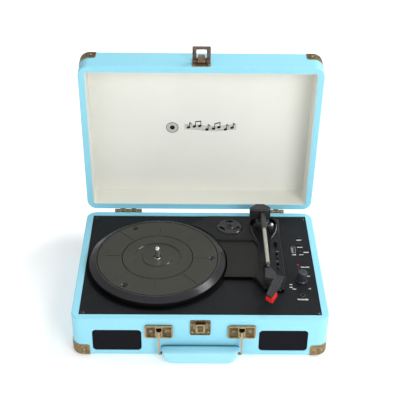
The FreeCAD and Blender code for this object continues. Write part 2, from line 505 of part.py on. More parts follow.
CATCH_T = 1.6
FACE_Y = -HALF_Y - CATCH_T
catch = rounded(-CATCH_HALF_X, CATCH_HALF_X, FACE_Y, -HALF_Y, CATCH_Z0, CATCH_Z1, 2.4, V(0, 1, 0))
block = rounded(-6.2, 6.2, FACE_Y - 4.0, FACE_Y, 45.0, 59.6, 1.2, V(0, 1, 0))
block = block.cut(rounded(-4.2, 4.2, FACE_Y - 5.0, FACE_Y - 3.2, 47.0, 57.6, 0.8, V(0, 1, 0)))
block = block.cut(box(-7.0, 7.0, FACE_Y - 2.6, FACE_Y, 44.0, 47.0))
catch = catch.fuse(block)
for sx in (-1, 1):
    x0, x1 = sorted((sx * 7.4, sx * 9.2))
    catch = catch.fuse(box(x0, x1, FACE_Y - 1.6, FACE_Y, 54.0, 62.0))
save("catch_plate", catch)

case_screws = [screw_head(2.4, x, LEAF_FACE, 56.5, BACK) for x in leaf_screw_x]
for side in (-1, 1):
    for dx in (-10.9, 10.9):
        case_screws.append(screw_head(2.6, side * HANDLE_X + dx, -HALF_Y - HANDLE_PLATE_T + 1.2,
                                      HANDLE_PLATE_MID_Z, FRONT))
    case_screws.append(screw_head(1.9, side * 10.8, FACE_Y, 45.2, FRONT))
    case_screws.append(screw_head(1.5, side * 11.5, FACE_Y, 58.0, FRONT))
save("case_screws", case_screws)

# ---- handle ---------------------------------------------------------------------------------
grip = box(-GRIP_HALF_X, GRIP_HALF_X, GRIP_Y0, GRIP_Y1, GRIP_Z0, GRIP_Z1)
low = [e for e in edges_along(grip, V(0, 1, 0)) if e.BoundBox.ZMax < GRIP_Z0 + 1]
grip = grip.makeFillet(14.0, low)
grip = grip.makeFillet(3.6, [e for e in grip.Edges if e.BoundBox.YLength < 1e-3])
PIN_Z, PIN_Y, GRIP_PIN_R = 15.0, -137.2, 1.9
for side in (-1, 1):
    x0, x1 = sorted((side * (GRIP_HALF_X - 6.0), side * (GRIP_HALF_X + 1.0)))
    grip = grip.cut(cyl_x(GRIP_PIN_R, x0, x1, PIN_Y, PIN_Z))
save("handle_grip", grip)
links = []
for side in (-1, 1):
    x = side * HANDLE_X
    path = [(HANDLE_PIVOT_Y + 0.4, HANDLE_PIVOT_Z + 0.7), (HANDLE_PIVOT_Y - 2.8, HANDLE_PIVOT_Z + 0.2),
            (HANDLE_PIVOT_Y - 3.6, HANDLE_PIVOT_Z - 1.4), (PIN_Y - 0.7, PIN_Z + 4.0),
            (PIN_Y - 2.2, PIN_Z), (PIN_Y, PIN_Z - 2.4), (PIN_Y + 2.2, PIN_Z), (PIN_Y + 0.7, PIN_Z + 4.0),
            (HANDLE_PIVOT_Y - 2.2, HANDLE_PIVOT_Z - 2.0), (HANDLE_PIVOT_Y + 0.4, HANDLE_PIVOT_Z - 0.9)]
    strap = profile_x(path, x - LINK_W / 2, x + LINK_W / 2)
    strap = strap.fuse(cyl_x(1.35, x - 3.5, x + 3.5, HANDLE_PIVOT_Y, HANDLE_PIVOT_Z))
    x0, x1 = sorted((side * (GRIP_HALF_X - 6.0), x))
    links.append(strap.fuse(cyl_x(GRIP_PIN_R, x0, x1, PIN_Y, PIN_Z)))
save("handle_links", links)

# ---- lid, drawn closed and turned open -----------------------------------------------------------
lid = soft_case(0.0, LID_Z0, LID_Z1, RIM_R, EDGE_R + 0.5)
CAVITY_R = 3.6
cavity = rounded(-HALF_X + LID_WALL, HALF_X - LID_WALL, -HALF_Y + LID_WALL, HALF_Y - LID_WALL,
                 LID_Z0 - 1, LID_Z1 - LID_ROOF, CAVITY_R)
save("lid_shell", opened(lid.cut(cavity)))
liner = rounded(-HALF_X + LID_WALL, HALF_X - LID_WALL, -HALF_Y + LID_WALL, HALF_Y - LID_WALL,
                LID_Z0 + 1.0, LID_Z1 - LID_ROOF, CAVITY_R)
inset = LID_WALL + LINER_T
liner = liner.cut(rounded(-HALF_X + inset, HALF_X - inset, -HALF_Y + inset, HALF_Y - inset,
                          LID_Z0, LID_Z1 - LID_ROOF - LINER_T, CAVITY_R - LINER_T))
save("lid_liner", opened(liner))
save("lid_corners", [opened(p) for p in corner_pieces(LID_Z0, LID_Z1, RIM_R, EDGE_R + 0.5, LID_Z1,
                                                     -CAP_RISE)])
save("lid_nails", [opened(p) for p in corner_nails(LID_Z1 - 9.0)])

latch = rounded(-LATCH_HALF_X, LATCH_HALF_X, -HALF_Y - LEAF_T, -HALF_Y, LATCH_Z0, LATCH_Z1, 3.0,
                V(0, 1, 0))
for sx in (-1, 1):
    x0, x1 = sorted((sx * EAR_X0, sx * EAR_X1))
    ear = cyl_x(2.3, x0, x1, LEVER_Y, LEVER_Z)
    ear = ear.fuse(box(x0, x1, LEVER_Y, -HALF_Y, LEVER_Z - 2.3, LEVER_Z + 2.3))
    latch = latch.fuse(ear)
latch = latch.fuse(cyl_x(LEVER_PIN_R, -EAR_X1, EAR_X1, LEVER_Y, LEVER_Z))
save("latch_plate", opened(latch))
for sx in (-1, 1):
    for z in (73.0, 90.5):
        lid_screws.append(opened(screw_head(1.5, sx * 10.6, -HALF_Y - LEAF_T, z, FRONT)))
save("lid_screws", lid_screws)

LEVER_HALF_X = 5.2
lever = profile_x([(LEVER_Y + 1.9, LEVER_Z - 1.6), (LEVER_Y - 1.7, LEVER_Z - 1.6),
                   (LEVER_Y - 3.2, BAIL_Z - 0.6), (LEVER_Y - 3.2, BAIL_Z + 2.4),
                   (LEVER_Y - 1.4, BAIL_Z + 6.0), (LEVER_Y - 4.6, BAIL_Z + 10.0),
                   (LEVER_Y - 4.0, BAIL_Z + 11.2), (LEVER_Y - 0.2, BAIL_Z + 8.0),
                   (LEVER_Y + 1.3, BAIL_Z + 4.0), (LEVER_Y + 1.9, BAIL_Z)], -LEVER_HALF_X, LEVER_HALF_X)
lever = lever.makeFillet(2.4, [e for e in edges_along(lever, V(0, 1, 0)) + lever.Edges
                               if e.BoundBox.ZMin > BAIL_Z + 9.9 and e.BoundBox.XLength < 1e-3][:2])
lever = lever.cut(cyl_x(LEVER_PIN_R + RUN_FIT, -9, 9, LEVER_Y, LEVER_Z))
lever = lever.cut(cyl_x(BAIL_R + RUN_FIT, -9, 9, BAIL_Y, BAIL_Z))
save("latch_lever", opened(lever))

bail = rounded(-BAIL_HALF_X, BAIL_HALF_X, BAIL_Y - BAIL_REACH, BAIL_Y, BAIL_Z - BAIL_R, BAIL_Z + BAIL_R,
               1.6)
bail = bail.cut(rounded(-BAIL_HALF_X + BAIL_STRAP, BAIL_HALF_X - BAIL_STRAP,
                        BAIL_Y - BAIL_REACH + BAIL_BAR, BAIL_Y + 8.0, BAIL_Z - 3.0, BAIL_Z + 3.0, 1.2))
bail = bail.fuse(cyl_x(BAIL_R, -BAIL_HALF_X + 1.6, BAIL_HALF_X - 1.6, BAIL_Y, BAIL_Z))
save("latch_bail", opened(bail))

# ---- tonearm base ---------------------------------------------------------------------------------
turret = turned([(0, 52.0), (6.4, 52.0), (6.4, 54.4), (4.0, 54.4), (4.0, WELL_FLOOR + GAP),
                 (TURRET_R, WELL_FLOOR + GAP), (TURRET_R, 78.6), (TURRET_R - 1.4, 80.0),
                 (8.0, 80.4), (8.0, HOUSING_Z0), (0, HOUSING_Z0)],
                PIVOT_X, PIVOT_Y)
save("tonearm_turret", turret)
HOUSING_OUTLINE = [(76.0, 89.6), (76.0, 97.0), (84.6, 106.5), (99.0, 106.5), (107.6, 98.5),
                   (107.6, 90.0), (101.0, 88.4), (88.0, 88.0)]
housing = prism(HOUSING_OUTLINE, HOUSING_Z0, HOUSING_Z1)
housing = housing.makeChamfer(2.2, edges_at(housing, HOUSING_Z1))
NECK_ROOM = 1.6
housing = housing.cut(box(ARM_X - NECK_W / 2 - NECK_ROOM, ARM_X + NECK_W / 2 + NECK_ROOM, 80.0, 103.6,
                          84.4, 95.6))
housing = housing.cut(cyl_x(LIFT_PIN_R + RUN_FIT, ARM_X - 9.0, ARM_X + 9.0, LIFT_Y, ARM_Z))
save("pivot_housing", housing)

# ---- tonearm ---------------------------------------------------------------------------------------
neck = box(ARM_X - NECK_W / 2, ARM_X + NECK_W / 2, NECK_Y0, NECK_Y1, ARM_Z - NECK_H / 2,
           ARM_Z + NECK_H / 2)
neck = neck.makeChamfer(1.2, edges_along(neck, V(0, 1, 0)))
neck = neck.cut(cyl_y(TUBE_R, ARM_X, NECK_Y0 - 1, TUBE_Y1, ARM_Z))
neck = neck.fuse(cyl_x(LIFT_PIN_R, ARM_X - 8.6, ARM_X + 8.6, LIFT_Y, ARM_Z))
FACE_Y0, FACE_Y1 = 88.4, 91.0
neck = neck.fuse(box(ARM_X - NECK_W / 2 - NECK_ROOM + 0.45, ARM_X + NECK_W / 2 + NECK_ROOM - 0.45,
                     FACE_Y0, FACE_Y1, 85.2, 94.5).cut(cyl_y(TUBE_R, ARM_X, 80.0, 95.0, ARM_Z)))
save("arm_neck", neck)
tube = cyl_y(TUBE_R, ARM_X, TUBE_Y0, TUBE_Y1, ARM_Z)
save("arm_tube", tube.cut(cyl_y(TUBE_R - 0.6, ARM_X, TUBE_Y0 + 6.0, TUBE_Y1 + 1, ARM_Z)))
COLLAR_Y0, COLLAR_Y1 = -43.0, -38.0
socket = cyl_y(TUBE_R - 0.9, ARM_X, COLLAR_Y0, COLLAR_Y1, ARM_Z)
save("arm_collar", cyl_y(TUBE_R + 0.5, ARM_X, COLLAR_Y1, TUBE_Y0, ARM_Z).fuse(socket))

shell_turn = math.radians(SHELL_ANGLE)
ALONG = (-math.sin(shell_turn), -math.cos(shell_turn))
ACROSS = (math.cos(shell_turn), -math.sin(shell_turn))


def shell_xy(s, t):
    """Point s mm along the headshell and t mm to its right."""
    return (SHELL_X + s * ALONG[0] + t * ACROSS[0], SHELL_Y + s * ALONG[1] + t * ACROSS[1])


def shell_prism(corners, z0, z1):
    return prism([shell_xy(s, t) for s, t in corners], z0, z1)


def strip(s0, s1, t0, t1, z0, z1):
    return shell_prism([(s0, t0), (s1, t0), (s1, t1), (s0, t1)], z0, z1)


W = SHELL_HALF_W
NOSE_T, NOSE_BACK, TAPER_S = W - 3.4, 5.0, 22.0
shell = shell_prism([(0.0, -W), (SHELL_L - NOSE_BACK, -W), (SHELL_L, NOSE_T), (TAPER_S, W), (0.0, W)],
                    SHELL_Z0, SHELL_Z1)
shell = shell.fuse(prism([(91.0, -43.0), (98.6, -41.0), (104.4, -52.0), (107.0, -62.0),
                          (101.0, -68.0), (90.2, -65.2)], SHELL_Z0, 90.6))
for t in (-2.6, 2.6):
    shell = shell.cut(strip(3.0, SHELL_L + 1, t - 0.7, t + 0.7, SHELL_Z1 - 0.8, SHELL_Z1 + 1))
shell = shell.cut(socket)
finger = shell_prism([(22.0, W - 1.0), (26.0, W - 1.0), (28.5, W + 3.0), (26.5, W + 3.4)], 87.2, 88.6)
save("headshell", shell.fuse(finger))
CARTRIDGE_Z0 = 83.4
cartridge = shell_prism([(16.0, -W + 1.2), (SHELL_L - NOSE_BACK - 1.0, -W + 1.2),
                         (SHELL_L - 1.6, NOSE_T - 1.2), (16.0, NOSE_T - 1.2)], CARTRIDGE_Z0, SHELL_Z0)
save("cartridge", cartridge)
RED_Z0, RED_Z1, RED_T = 82.4, 88.2, 1.8
lean = (W - NOSE_T) / (SHELL_L - TAPER_S)
nose = shell_prism([(SHELL_L - NOSE_BACK, -W), (SHELL_L - NOSE_BACK + RED_T, -W),
                    (SHELL_L + RED_T, NOSE_T + RED_T), (SHELL_L, NOSE_T)], RED_Z0, RED_Z1)
flank = shell_prism([(SHELL_L + RED_T, NOSE_T + RED_T), (SHELL_L, NOSE_T),
                     (SHELL_L - 16.0, NOSE_T + 16.0 * lean),
                     (SHELL_L - 14.0, NOSE_T + 14.0 * lean + RED_T + 0.4)], RED_Z0 + 0.6, RED_Z1 + 0.4)
tip_x, tip_y = shell_xy(SHELL_L - 0.7, 0.0)
tip = turned([(0, 81.2), (0.4, 81.2), (1.2, RED_Z0 + 0.6), (0, RED_Z0 + 0.6)], tip_x, tip_y)
red = nose.fuse(flank).fuse(tip)
save("stylus", red)

# ---- cue lift ---------------------------------------------------------------------------------------
LIFT_TOP, LIFT_TRAVEL = 84.2, 2.8
post = cyl_z(CUE_POST_R, CUE_POST_X, CUE_POST_Y, WELL_FLOOR + GAP, LIFT_TOP - CUE_POST_R)
post = post.fuse(Part.makeSphere(CUE_POST_R, V(CUE_POST_X, CUE_POST_Y, LIFT_TOP - CUE_POST_R)))
post = post.fuse(cyl_z(2.0, CUE_POST_X, CUE_POST_Y, 60.0, WELL_FLOOR + 1.0))
ARC_R0, ARC_R1 = 17.0, 20.0
arc = cyl_z(ARC_R1, PIVOT_X, PIVOT_Y, 80.4, 83.4).cut(cyl_z(ARC_R0, PIVOT_X, PIVOT_Y, 80.0, 84.0))
arc = arc.common(prism([(PIVOT_X, PIVOT_Y), (PIVOT_X + 25.0, PIVOT_Y - 27.0), (PIVOT_X + 6.0, PIVOT_Y - 40.0),
                        (PIVOT_X - 34.0, PIVOT_Y - 34.0)], 80.0, 84.0))
save("cue_platform", post.fuse(arc))
cue = cyl_x(2.6, STRIP_X - 1.6, STRIP_X + 1.6, CUE_Y, CUE_PIN_Z)
cue = cue.fuse(profile_x([(CUE_Y - 2.0, CUE_PIN_Z), (CUE_Y - 2.4, 77.0), (CUE_Y - 4.4, 81.6),
                          (CUE_Y - 1.2, 82.0), (CUE_Y + 1.4, 77.0), (CUE_Y + 2.0, CUE_PIN_Z)],
                         STRIP_X - 1.6, STRIP_X + 1.6))
save("cue_lever", cue.fuse(cyl_x(CUE_PIN_R, STRIP_X - 4.0, STRIP_X + 4.0, CUE_Y, CUE_PIN_Z)))


def slide_tab(y):
    """Small ribbed slide tab standing in its slot, at the front end of its travel."""
    tab = box(STRIP_X - 1.5, STRIP_X + 1.5, y - 2.4, y + 2.4, PLATE_Z1 + 1.4, 76.0)
    for dy in (-1.2, 0.0, 1.2):
        tab = tab.cut(box(STRIP_X - 2, STRIP_X + 2, y + dy - 0.25, y + dy + 0.25, 75.5, 77.0))
    return tab


TAB_TRAVEL = 8.0
save("autostop_switch", slide_tab(STOP_Y - TAB_TRAVEL / 2))
save("speed_switch", slide_tab(SPEED_Y - TAB_TRAVEL / 2))

# ---- knob, buttons and adapter ---------------------------------------------------------------------
knob = turned([(0, PLATE_Z1 + 0.6), (KNOB_R0, PLATE_Z1 + 0.6), (KNOB_R0, PLATE_Z1 + 2.0),
               (KNOB_R0 - 0.9, PLATE_Z1 + 3.2), (KNOB_R1 + 0.2, KNOB_TOP - 1.0), (KNOB_R1 - 0.6, KNOB_TOP),
               (0, KNOB_TOP)], KNOB_X, KNOB_Y)
for i in range(24):
    a = math.radians(15.0 * i)
    knob = knob.cut(cyl_z(0.35, KNOB_X + (KNOB_R1 + 0.75) * math.cos(a),
                          KNOB_Y + (KNOB_R1 + 0.75) * math.sin(a), PLATE_Z1 + 3.4, KNOB_TOP + 1))
knob = knob.fuse(cyl_z(3.0, KNOB_X, KNOB_Y, 56.4, PLATE_Z1 + 0.6))
save("volume_knob", knob)
for i, (x, y) in enumerate(BUTTONS):
    cap = rounded(x - BUTTON_X / 2, x + BUTTON_X / 2, y - BUTTON_Y / 2, y + BUTTON_Y / 2, 61.7,
                  PLATE_Z1 + 1.3, 0.8)
    cap = cap.makeFillet(0.4, edges_at(cap, PLATE_Z1 + 1.3))
    save("button_" + "abc"[i], cap)

ADAPTER_Z0, ADAPTER_Z1 = PLATE_Z1 + 1.5 + GAP, 75.4
adapter = turned([(3.4 + GAP, ADAPTER_Z0), (ADAPTER_R, ADAPTER_Z0), (ADAPTER_R, ADAPTER_Z1 - 1.0),
                  (ADAPTER_R - 1.2, ADAPTER_Z1), (7.0, ADAPTER_Z1), (6.0, ADAPTER_Z1 + 1.0),
                  (3.4 + GAP, ADAPTER_Z1 + 1.0)], ADAPTER_X, ADAPTER_Y)
for i in range(3):
    lens = Part.makeCylinder(9.0, 4.0, V(0, 0, 0)).common(Part.makeCylinder(9.0, 4.0, V(11.0, 0, 0)))
    lens.translate(V(7.2, 0, ADAPTER_Z1 - 2.2))
    lens.rotate(V(0, 0, 0), V(0, 0, 1), 90.0 + 120.0 * i)
    lens.translate(V(ADAPTER_X, ADAPTER_Y, 0))
    adapter = adapter.cut(lens)
save("adapter_45", adapter)
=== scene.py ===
import json
import math

import bmesh
import bpy
from mathutils import Matrix, Vector

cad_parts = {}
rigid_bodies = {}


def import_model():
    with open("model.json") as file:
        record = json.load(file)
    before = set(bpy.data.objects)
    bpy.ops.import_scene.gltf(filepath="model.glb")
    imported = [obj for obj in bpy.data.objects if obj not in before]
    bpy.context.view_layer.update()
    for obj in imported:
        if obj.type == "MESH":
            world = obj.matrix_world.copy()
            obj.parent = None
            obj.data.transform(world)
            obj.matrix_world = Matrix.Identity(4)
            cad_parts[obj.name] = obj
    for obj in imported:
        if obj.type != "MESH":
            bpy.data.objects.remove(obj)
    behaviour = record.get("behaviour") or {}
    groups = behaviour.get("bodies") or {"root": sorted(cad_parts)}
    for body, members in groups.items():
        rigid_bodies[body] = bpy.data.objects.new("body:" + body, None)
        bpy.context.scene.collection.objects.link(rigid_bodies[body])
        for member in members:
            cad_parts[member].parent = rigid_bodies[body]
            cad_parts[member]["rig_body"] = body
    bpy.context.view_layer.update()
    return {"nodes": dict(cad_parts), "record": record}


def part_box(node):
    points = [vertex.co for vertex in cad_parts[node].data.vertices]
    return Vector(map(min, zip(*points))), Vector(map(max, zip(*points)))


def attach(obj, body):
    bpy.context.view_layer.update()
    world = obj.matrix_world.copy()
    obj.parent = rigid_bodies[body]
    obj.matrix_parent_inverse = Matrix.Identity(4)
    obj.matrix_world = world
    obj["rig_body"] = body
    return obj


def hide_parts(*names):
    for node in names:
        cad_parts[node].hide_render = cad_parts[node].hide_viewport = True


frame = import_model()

nodes = frame["nodes"]
scene = bpy.context.scene
MM = 0.001


# ---- finishes ----
class Finish:
    """A procedural material built round one principled shader."""

    def __init__(self, name, color, rough=0.5, metal=0.0, specular=0.5):
        self.mat = bpy.data.materials.new(name)
        self.mat.use_nodes = True
        self.tree = self.mat.node_tree
        self.shader = self.tree.nodes["Principled BSDF"]
        self.place = self.add("ShaderNodeTexCoord").outputs["Object"]
        self.set("Base Color", (*color, 1.0))
        self.set("Roughness", rough)
        self.set("Metallic", metal)
        self.set("Specular IOR Level", specular)
        self.mat.diffuse_color = (*color, 1.0)

    def add(self, kind, **settings):
        node = self.tree.nodes.new(kind)
        for key, value in settings.items():
            setattr(node, key, value)
        return node

    def set(self, socket, value):
        self.shader.inputs[socket].default_value = value

    def link(self, out, into):
        self.tree.links.new(out, into)
        return out

    def give(self, socket, value):
        """Link a socket to another node's output, or set it to a plain value."""
        if isinstance(value, bpy.types.NodeSocket):
            self.link(value, socket)
        else:
            socket.default_value = value

    def feed(self, node, **inputs):
        for key, value in inputs.items():
            self.give(node.inputs[key.replace("_", " ")], value)
        return node

    def stretched(self, scale=(1, 1, 1), shift=(0, 0, 0)):
        node = self.add("ShaderNodeMapping")
        self.feed(node, Vector=self.place, Scale=scale, Location=shift)
        return node.outputs["Vector"]

    def noise(self, scale, detail=3.0, rough=0.55, at=None):
        node = self.add("ShaderNodeTexNoise")
        self.feed(node, Vector=at or self.place, Scale=scale, Detail=detail, Roughness=rough)
        return node.outputs["Fac"]

    def cells(self, scale, feature="F1", at=None):
        node = self.add("ShaderNodeTexVoronoi", feature=feature)
        self.feed(node, Vector=at or self.place, Scale=scale)
        return node.outputs["Distance"]

    def bands(self, scale, direction="X", kind="BANDS", at=None):
        node = self.add("ShaderNodeTexWave", wave_type=kind)
        setattr(node, "bands_direction" if kind == "BANDS" else "rings_direction", direction)
        self.feed(node, Vector=at or self.place, Scale=scale, Distortion=0.0)
        return node.outputs["Fac"]

    def sums(self, operation, a, b=0.5):
        node = self.add("ShaderNodeMath", operation=operation)
        for socket, value in zip(node.inputs, (a, b)):
            self.give(socket, value)
        return node.outputs[0]

    def span(self, value, low, high, to_low=0.0, to_high=1.0):
        """Map low..high to to_low..to_high, held at the ends."""
        node = self.add("ShaderNodeMapRange")
        self.feed(node, Value=value, From_Min=low, From_Max=high, To_Min=to_low, To_Max=to_high)
        return node.outputs["Result"]

    def blend(self, fac, a, b):
        """Mix two colours, where a and b are plain colours or outputs."""
        node = self.add("ShaderNodeMix", data_type="RGBA")
        self.link(fac, node.inputs["Factor"])
        for socket, value in ((node.inputs[6], a), (node.inputs[7], b)):
            self.give(socket, (*value, 1.0) if isinstance(value, tuple) else value)
        return node.outputs[2]

    def edge(self, radius):
        """1 on outside and inside edges, 0 on open faces."""
        bevel = self.add("ShaderNodeBevel", samples=6)
        bevel.inputs["Radius"].default_value = radius
        flat = self.add("ShaderNodeNewGeometry")
        dot = self.add("ShaderNodeVectorMath", operation="DOT_PRODUCT")
        self.link(bevel.outputs["Normal"], dot.inputs[0])
        self.link(flat.outputs["True Normal"], dot.inputs[1])
        return self.span(dot.outputs["Value"], 0.995, 0.80)

    def color(self, out):
        self.link(out, self.shader.inputs["Base Color"])

    def rough(self, out):
        self.link(out, self.shader.inputs["Roughness"])

    def bump(self, height, distance, strength=1.0):
        node = self.add("ShaderNodeBump")
        self.feed(node, Height=height, Distance=distance, Strength=strength)
        self.link(node.outputs["Normal"], self.shader.inputs["Normal"])


def shade(color, factor):
    """A lighter or darker version of a colour."""
    return tuple(min(1.0, c * factor) for c in color)


def leatherette(name, color):
    """Grained covering cloth with a slight cloudiness."""
    f = Finish(name, color, rough=0.46, specular=0.35)
    grain = f.cells(780.0, "SMOOTH_F1")
    crease = f.cells(780.0, "DISTANCE_TO_EDGE")
    fine = f.noise(2400.0, 2.0)
    cloud = f.noise(9.0, 4.0, 0.6)
    tone = f.blend(f.span(cloud, 0.35, 0.65), shade(color, 0.965), color)
    f.color(f.blend(f.span(crease, 0.0, 0.10), shade(color, 0.90), tone))
    f.rough(f.span(f.noise(60.0, 4.0), 0.3, 0.7, 0.40, 0.54))
    height = f.sums("ADD", f.sums("MULTIPLY", grain, -0.7), f.sums("MULTIPLY", fine, 0.35))
    f.bump(height, 0.00016, 0.55)
    return f.mat


def gate(f, value, low, high, blur=0.0002):
    """1 while value lies between low and high."""
    rise = f.span(value, low - blur, low + blur)
    return f.sums("MULTIPLY", rise, f.span(value, high - blur, high + blur, 1.0, 0.0))


def old_brass(name, dark, bright, edge_lift=0.9):
    """Mottled aged brass, brighter on its edges: partly rubbed wear, partly a painted highlight.
    """
    f = Finish(name, bright, rough=0.42, metal=1.0)
    patina = f.span(f.noise(230.0, 7.0, 0.66), 0.38, 0.64)
    tone = f.blend(patina, dark, bright)
    # edges blended towards bright brass: partly rubbed wear, partly a painted highlight
    edge_wear_and_highlight = f.sums("MULTIPLY", f.edge(0.0007), edge_lift)
    f.color(f.blend(edge_wear_and_highlight, tone, (0.86, 0.70, 0.42)))
    f.rough(f.span(f.noise(420.0, 5.0), 0.3, 0.7, 0.30, 0.58))
    f.bump(f.noise(900.0, 5.0), 0.00006, 0.6)
    return f.mat


def bright_metal(name, color, rough):
    """Brushed metal with fine lines along it."""
    f = Finish(name, color, rough=rough, metal=1.0)
    lines = f.noise(900.0, 3.0, 0.5, f.stretched((1.0, 0.04, 1.0)))
    f.color(f.blend(f.span(f.noise(140.0, 4.0), 0.3, 0.7), shade(color, 0.88), color))
    f.rough(f.span(lines, 0.3, 0.7, rough * 0.75, rough * 1.35))
    f.bump(lines, 0.000015, 0.5)
    return f.mat


def moulded(name, color, rough=0.42, specular=0.35, grain=1500.0, depth=0.00002,
            edge_lift=0.25):
    """Moulded plastic: fine texture, a little tone variation and lighter edges, partly rubbed wear
    and partly a painted highlight.
    """
    f = Finish(name, color, rough=rough, specular=specular)
    tone = f.blend(f.span(f.noise(35.0, 4.0), 0.3, 0.7), shade(color, 0.86), shade(color, 1.12))
    lifted = tuple(c + 0.05 for c in color)
    # lighter edges: partly rubbed wear, partly a painted highlight
    f.color(f.blend(f.sums("MULTIPLY", f.edge(0.0005), edge_lift), tone, lifted))
    f.rough(f.span(f.noise(220.0, 4.0), 0.3, 0.7, rough * 0.88, rough * 1.14))
    f.bump(f.noise(grain, 2.0), depth, 0.7)
    return f.mat


def turned_plastic(name, color, centre, rough):
    """Moulded disc with very fine concentric tool marks and lighter edges, partly rubbed wear and
    partly a painted highlight.
    """
    f = Finish(name, color, rough=rough, specular=0.32)
    at = f.stretched(shift=(-centre[0], -centre[1], 0))
    rings = f.bands(330.0, "Z", "RINGS", at)
    tone = f.blend(f.span(f.noise(16.0, 4.0), 0.35, 0.65), shade(color, 0.90), shade(color, 1.06))
    # lighter edges: partly rubbed wear, partly a painted highlight
    lifted = tuple(c + 0.10 for c in color)
    f.color(f.blend(f.sums("MULTIPLY", f.edge(0.0006), 0.45), tone, lifted))
    f.rough(f.span(f.noise(90.0, 5.0), 0.3, 0.7, rough * 0.88, rough * 1.12))
    f.bump(f.sums("ADD", rings, f.sums("MULTIPLY", f.noise(1800.0, 2.0), 0.5)), 0.000018, 0.6)
    return f.mat


TRAY_X1, TRAY_Y0, TRAY_Y1 = 0.0835, -0.034, 0.046
STEP_LOW, STEP_HIGH = 0.030, 0.040


def deck_plastic(name, color, tray_color):
    """Glossy moulding with a paler sunk tray, its front step wall painted black as shade, its back
    step wall painted paler as light, and lighter edges, partly rubbed wear and partly a painted
    highlight.
    """
    f = Finish(name, color, rough=0.33, specular=0.18)
    split = f.add("ShaderNodeSeparateXYZ")
    f.feed(split, Vector=f.place)
    x, y = split.outputs["X"], split.outputs["Y"]
    tray = f.sums("MULTIPLY", gate(f, y, TRAY_Y0, TRAY_Y1), gate(f, x, -0.10, TRAY_X1, 0.004))
    speck = f.blend(f.span(f.noise(35.0, 4.0), 0.3, 0.7), shade(color, 0.86), shade(color, 1.12))
    tone = f.blend(tray, speck, tray_color)
    facing = f.add("ShaderNodeSeparateXYZ")
    f.feed(facing, Vector=f.add("ShaderNodeNewGeometry").outputs["True Normal"])
    wall = f.span(facing.outputs["Y"], -0.80, -0.90)
    front_wall_painted_shade = f.sums("MULTIPLY", wall, f.span(y, STEP_LOW, STEP_HIGH, 1.0, 0.0))
    back_step_painted_light = f.sums("MULTIPLY", wall, f.span(y, STEP_LOW, STEP_HIGH))
    # painted shade: the front step wall goes black; painted light: the back step wall goes paler
    tone = f.blend(front_wall_painted_shade, tone, (0.001, 0.001, 0.001))
    tone = f.blend(back_step_painted_light, tone, (0.030, 0.030, 0.028))
    # lighter edges: partly rubbed wear, partly a painted highlight
    f.color(f.blend(f.sums("MULTIPLY", f.edge(0.0005), 0.25), tone, (0.06, 0.06, 0.062)))
    f.rough(f.span(f.noise(220.0, 4.0), 0.3, 0.7, 0.29, 0.38))
    f.bump(f.noise(1500.0, 2.0), 0.00002, 0.7)
    return f.mat


def grille_weave(name):
    """Open black cloth with threads both ways."""
    f = Finish(name, (0.008, 0.008, 0.010), rough=0.85, specular=0.06)
    across = f.bands(270.0, "X")
    down = f.bands(270.0, "Z")
    thread = f.sums("MAXIMUM", across, down)
    f.color(f.blend(f.span(thread, 0.35, 0.95), (0.0015, 0.0015, 0.002), (0.015, 0.015, 0.020)))
    f.bump(f.sums("ADD", thread, f.sums("MULTIPLY", f.noise(2600.0, 2.0), 0.3)), 0.00022, 0.8)
    return f.mat


def liner_paper(name, color):
    """Matt paper with a fine cloth print pressed in."""
    f = Finish(name, color, rough=0.74, specular=0.25)
    threads = f.sums("ADD", f.noise(1400.0, 3.0, 0.5, f.stretched((1, 1, 0.12))),
                     f.noise(1400.0, 3.0, 0.5, f.stretched((0.12, 1, 1))))
    cloud = f.noise(7.0, 4.0, 0.6)
    f.color(f.blend(f.span(cloud, 0.35, 0.65), shade(color, 0.955), color))
    f.rough(f.span(f.noise(90.0, 3.0), 0.3, 0.7, 0.66, 0.80))
    f.bump(threads, 0.00008, 0.5)
    return f.mat


# the two main colours, and the middle of the platter for its turned finish
SKY = (0.300, 0.690, 0.835)
BLACK = (0.0105, 0.0110, 0.0135)
platter_low, platter_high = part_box("platter")
PLATTER_MID = (platter_low + platter_high) / 2

